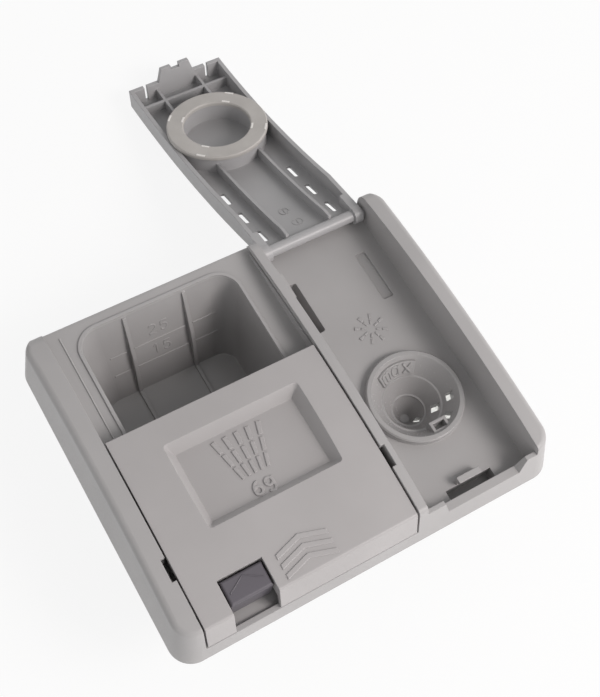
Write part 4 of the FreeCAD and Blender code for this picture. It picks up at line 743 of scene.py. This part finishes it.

# %% [markdown]
# The rear screws get their cross recess as a cross of painted shade let into the head: two small
# dark tapered blocks that stand just clear of the head's face.

# %% Screw recesses
CARRIER_HEADS, TANK_HEADS = -13.7, -9.7  # height of the heads' faces
RECESS_LONG, RECESS_SHORT = 1.5, 0.32  # half sizes
RECESS_TAPER = 0.8
RECESS_CLEAR, RECESS_DEPTH = 0.05, 0.2
heads = [(x, y, CARRIER_HEADS) for x in (-71.8, 16.9) for y in (-56.0, -22.0)]
heads += [(x, y, TANK_HEADS)
          for x, y in ((31.9, -59.5), (68.2, -59.5), (68.2, 60.5), (30.5, 51.5))]
form = bmesh.new()
for x, y, z in heads:
    for wide, tall in ((RECESS_LONG, RECESS_SHORT), (RECESS_SHORT, RECESS_LONG)):
        levels = []
        for share, height in ((1, z - RECESS_CLEAR), (RECESS_TAPER, z + RECESS_DEPTH)):
            u, v = wide * share, tall * share
            corners = ((x - u, y - v), (x + u, y - v), (x + u, y + v), (x - u, y + v))
            levels.append([form.verts.new(Vector((*corner, height)) * MM) for corner in corners])
        outer, inner = levels
        form.faces.new(outer[::-1])
        form.faces.new(inner)
        for i in range(4):
            j = (i + 1) % 4
            form.faces.new((outer[i], outer[j], inner[j], inner[i]))
# The dark cross in each head is painted shade
piece("screw_recesses", form, "base", shade_painted_steel)
print("screw recesses", len(heads))

# %% [markdown]
# The scene is a plain white sweep. The floor is a real surface that takes the object's shadow, and
# where it is seen it is mixed with plain white light, so the background stays white without more
# light on the object.

# %% Floor
FLOOR_HALF = 3.0
FLOOR_GAP = 0.0002  # keeps the floor clear of the object's lowest face
PAPER_GLOW = 0.88  # share of plain white where the paper is seen


def seen(tree):
    # One for rays that show the surroundings, nought for rays that only carry light from them
    path = add(tree, "ShaderNodeLightPath").outputs
    shown = path["Is Camera Ray"]
    for other in ("Is Glossy Ray", "Is Transmission Ray"):
        shown = add(tree, "ShaderNodeMath", {0: shown, 1: path[other]},
                    operation="MAXIMUM").outputs[0]
    return shown


floor_form = bmesh.new()
bmesh.ops.create_grid(floor_form, x_segments=2, y_segments=2, size=FLOOR_HALF)
floor_mesh = bpy.data.meshes.new("floor")
floor_form.to_mesh(floor_mesh)
floor_form.free()
floor = bpy.data.objects.new("floor", floor_mesh)
bpy.context.collection.objects.link(floor)
floor.location = (0, 0, cad_box[0][2] - FLOOR_GAP)
paper, tree = blank("white paper sweep")
share = add(tree, "ShaderNodeMath", {0: seen(tree), 1: PAPER_GLOW}, operation="MULTIPLY")
matt = add(tree, "ShaderNodeBsdfDiffuse", {"Color": linear("F4F4F4")})
glow = add(tree, "ShaderNodeEmission", {"Color": linear("FFFFFF"), "Strength": 1.0})
mixed = add(tree, "ShaderNodeMixShader",
            {0: share.outputs[0], 1: matt.outputs[0], 2: glow.outputs[0]})
add(tree, "ShaderNodeOutputMaterial", {"Surface": mixed.outputs[0]})
floor_mesh.materials.append(paper)
print("floor at", round(floor.location.z / MM, 1), "mm")

# %% [markdown]
# The sky works as a white light tent. It gives more light from the right, from the near side and
# from low down, and hardly any from straight above, so hollows and faces turned to the left fall
# into shade. Where the sky itself is seen or mirrored it is plain white.

# %% Light tent
# For each axis: where it starts, then the share of light at its start and at its end
TENT = {"X": (-1, 0.6, 1.35), "Y": (-1, 1.15, 0.75), "Z": (0, 1.6, 0.05)}
world = bpy.data.worlds.new("studio")
world.use_nodes = True
bpy.context.scene.world = world
tree = world.node_tree
tree.nodes.clear()
place = add(tree, "ShaderNodeTexCoord").outputs["Generated"]
way = add(tree, "ShaderNodeSeparateXYZ", {"Vector": place})
tent = 1.0
for axis, (start, first, last) in TENT.items():
    side = add(tree, "ShaderNodeMapRange",
               {"Value": way.outputs[axis], "From Min": start, "To Min": first, "To Max": last})
    tent = add(tree, "ShaderNodeMath", {0: tent, 1: side.outputs["Result"]},
               operation="MULTIPLY").outputs[0]
strength = add(tree, "ShaderNodeMapRange", {"Value": seen(tree), "To Min": tent, "To Max": 1.0})
sky = add(tree, "ShaderNodeBackground",
          {"Color": linear("FFFFFF"), "Strength": strength.outputs["Result"]})
add(tree, "ShaderNodeOutputWorld", {"Surface": sky.outputs[0]})
print("tent shares", TENT)

# %% [markdown]
# One soft lamp stands high on the near right. It models the level faces and throws the soft shadow
# of the rails across the bays. It is slightly warm, as a studio lamp is, so lit faces come out a
# touch warmer than the shade. The white floor throws light back on the outer walls.

# %% Lamp
LAMP_SPOT, LAMP_AIM = Vector((0.55, -0.65, 0.8)), Vector((0, 0.02, 0))
LAMP_SIZE, LAMP_WATTS = 0.5, 8.4
LAMP_WARM = (1.0, 0.95, 0.93)
lamp = bpy.data.lights.new("main softbox", "AREA")
lamp.shape = "SQUARE"
lamp.size = LAMP_SIZE
lamp.energy = LAMP_WATTS
lamp.color = LAMP_WARM
softbox = bpy.data.objects.new("main softbox", lamp)
softbox.location = LAMP_SPOT
softbox.rotation_euler = (LAMP_AIM - LAMP_SPOT).to_track_quat("-Z", "Y").to_euler()
bpy.context.collection.objects.link(softbox)
print("lamp at", [round(v, 2) for v in softbox.location])

# %% [markdown]
# The camera stands where the photographer stood. Its place and turn were solved from straight edges
# of the frame, so they are written as numbers: three directions and a place.

# %% Camera
SENSOR_MM, LENS_MM = 36, 71.973
CAMERA_SPOT = (-0.139515, -0.151321, 0.454349)
RIGHT = Vector((0.8580166, -0.50113661, 0.11255937))
UP = Vector((0.4070043, 0.79705713, 0.44614732))
BACK = Vector((-0.31329701, -0.33698966, 0.887853))
lens = bpy.data.cameras.new("camera")
lens.sensor_fit = "HORIZONTAL"
lens.sensor_width = SENSOR_MM
lens.lens = LENS_MM
lens.clip_start = 0.01
camera = bpy.data.objects.new("camera", lens)
turned = Matrix((RIGHT, UP, BACK)).transposed().to_4x4()
camera.matrix_world = Matrix.Translation(CAMERA_SPOT) @ turned
bpy.context.collection.objects.link(camera)
bpy.context.scene.camera = camera
bpy.context.scene.view_settings.view_transform = "Standard"
print("camera at", [round(v, 3) for v in camera.location])
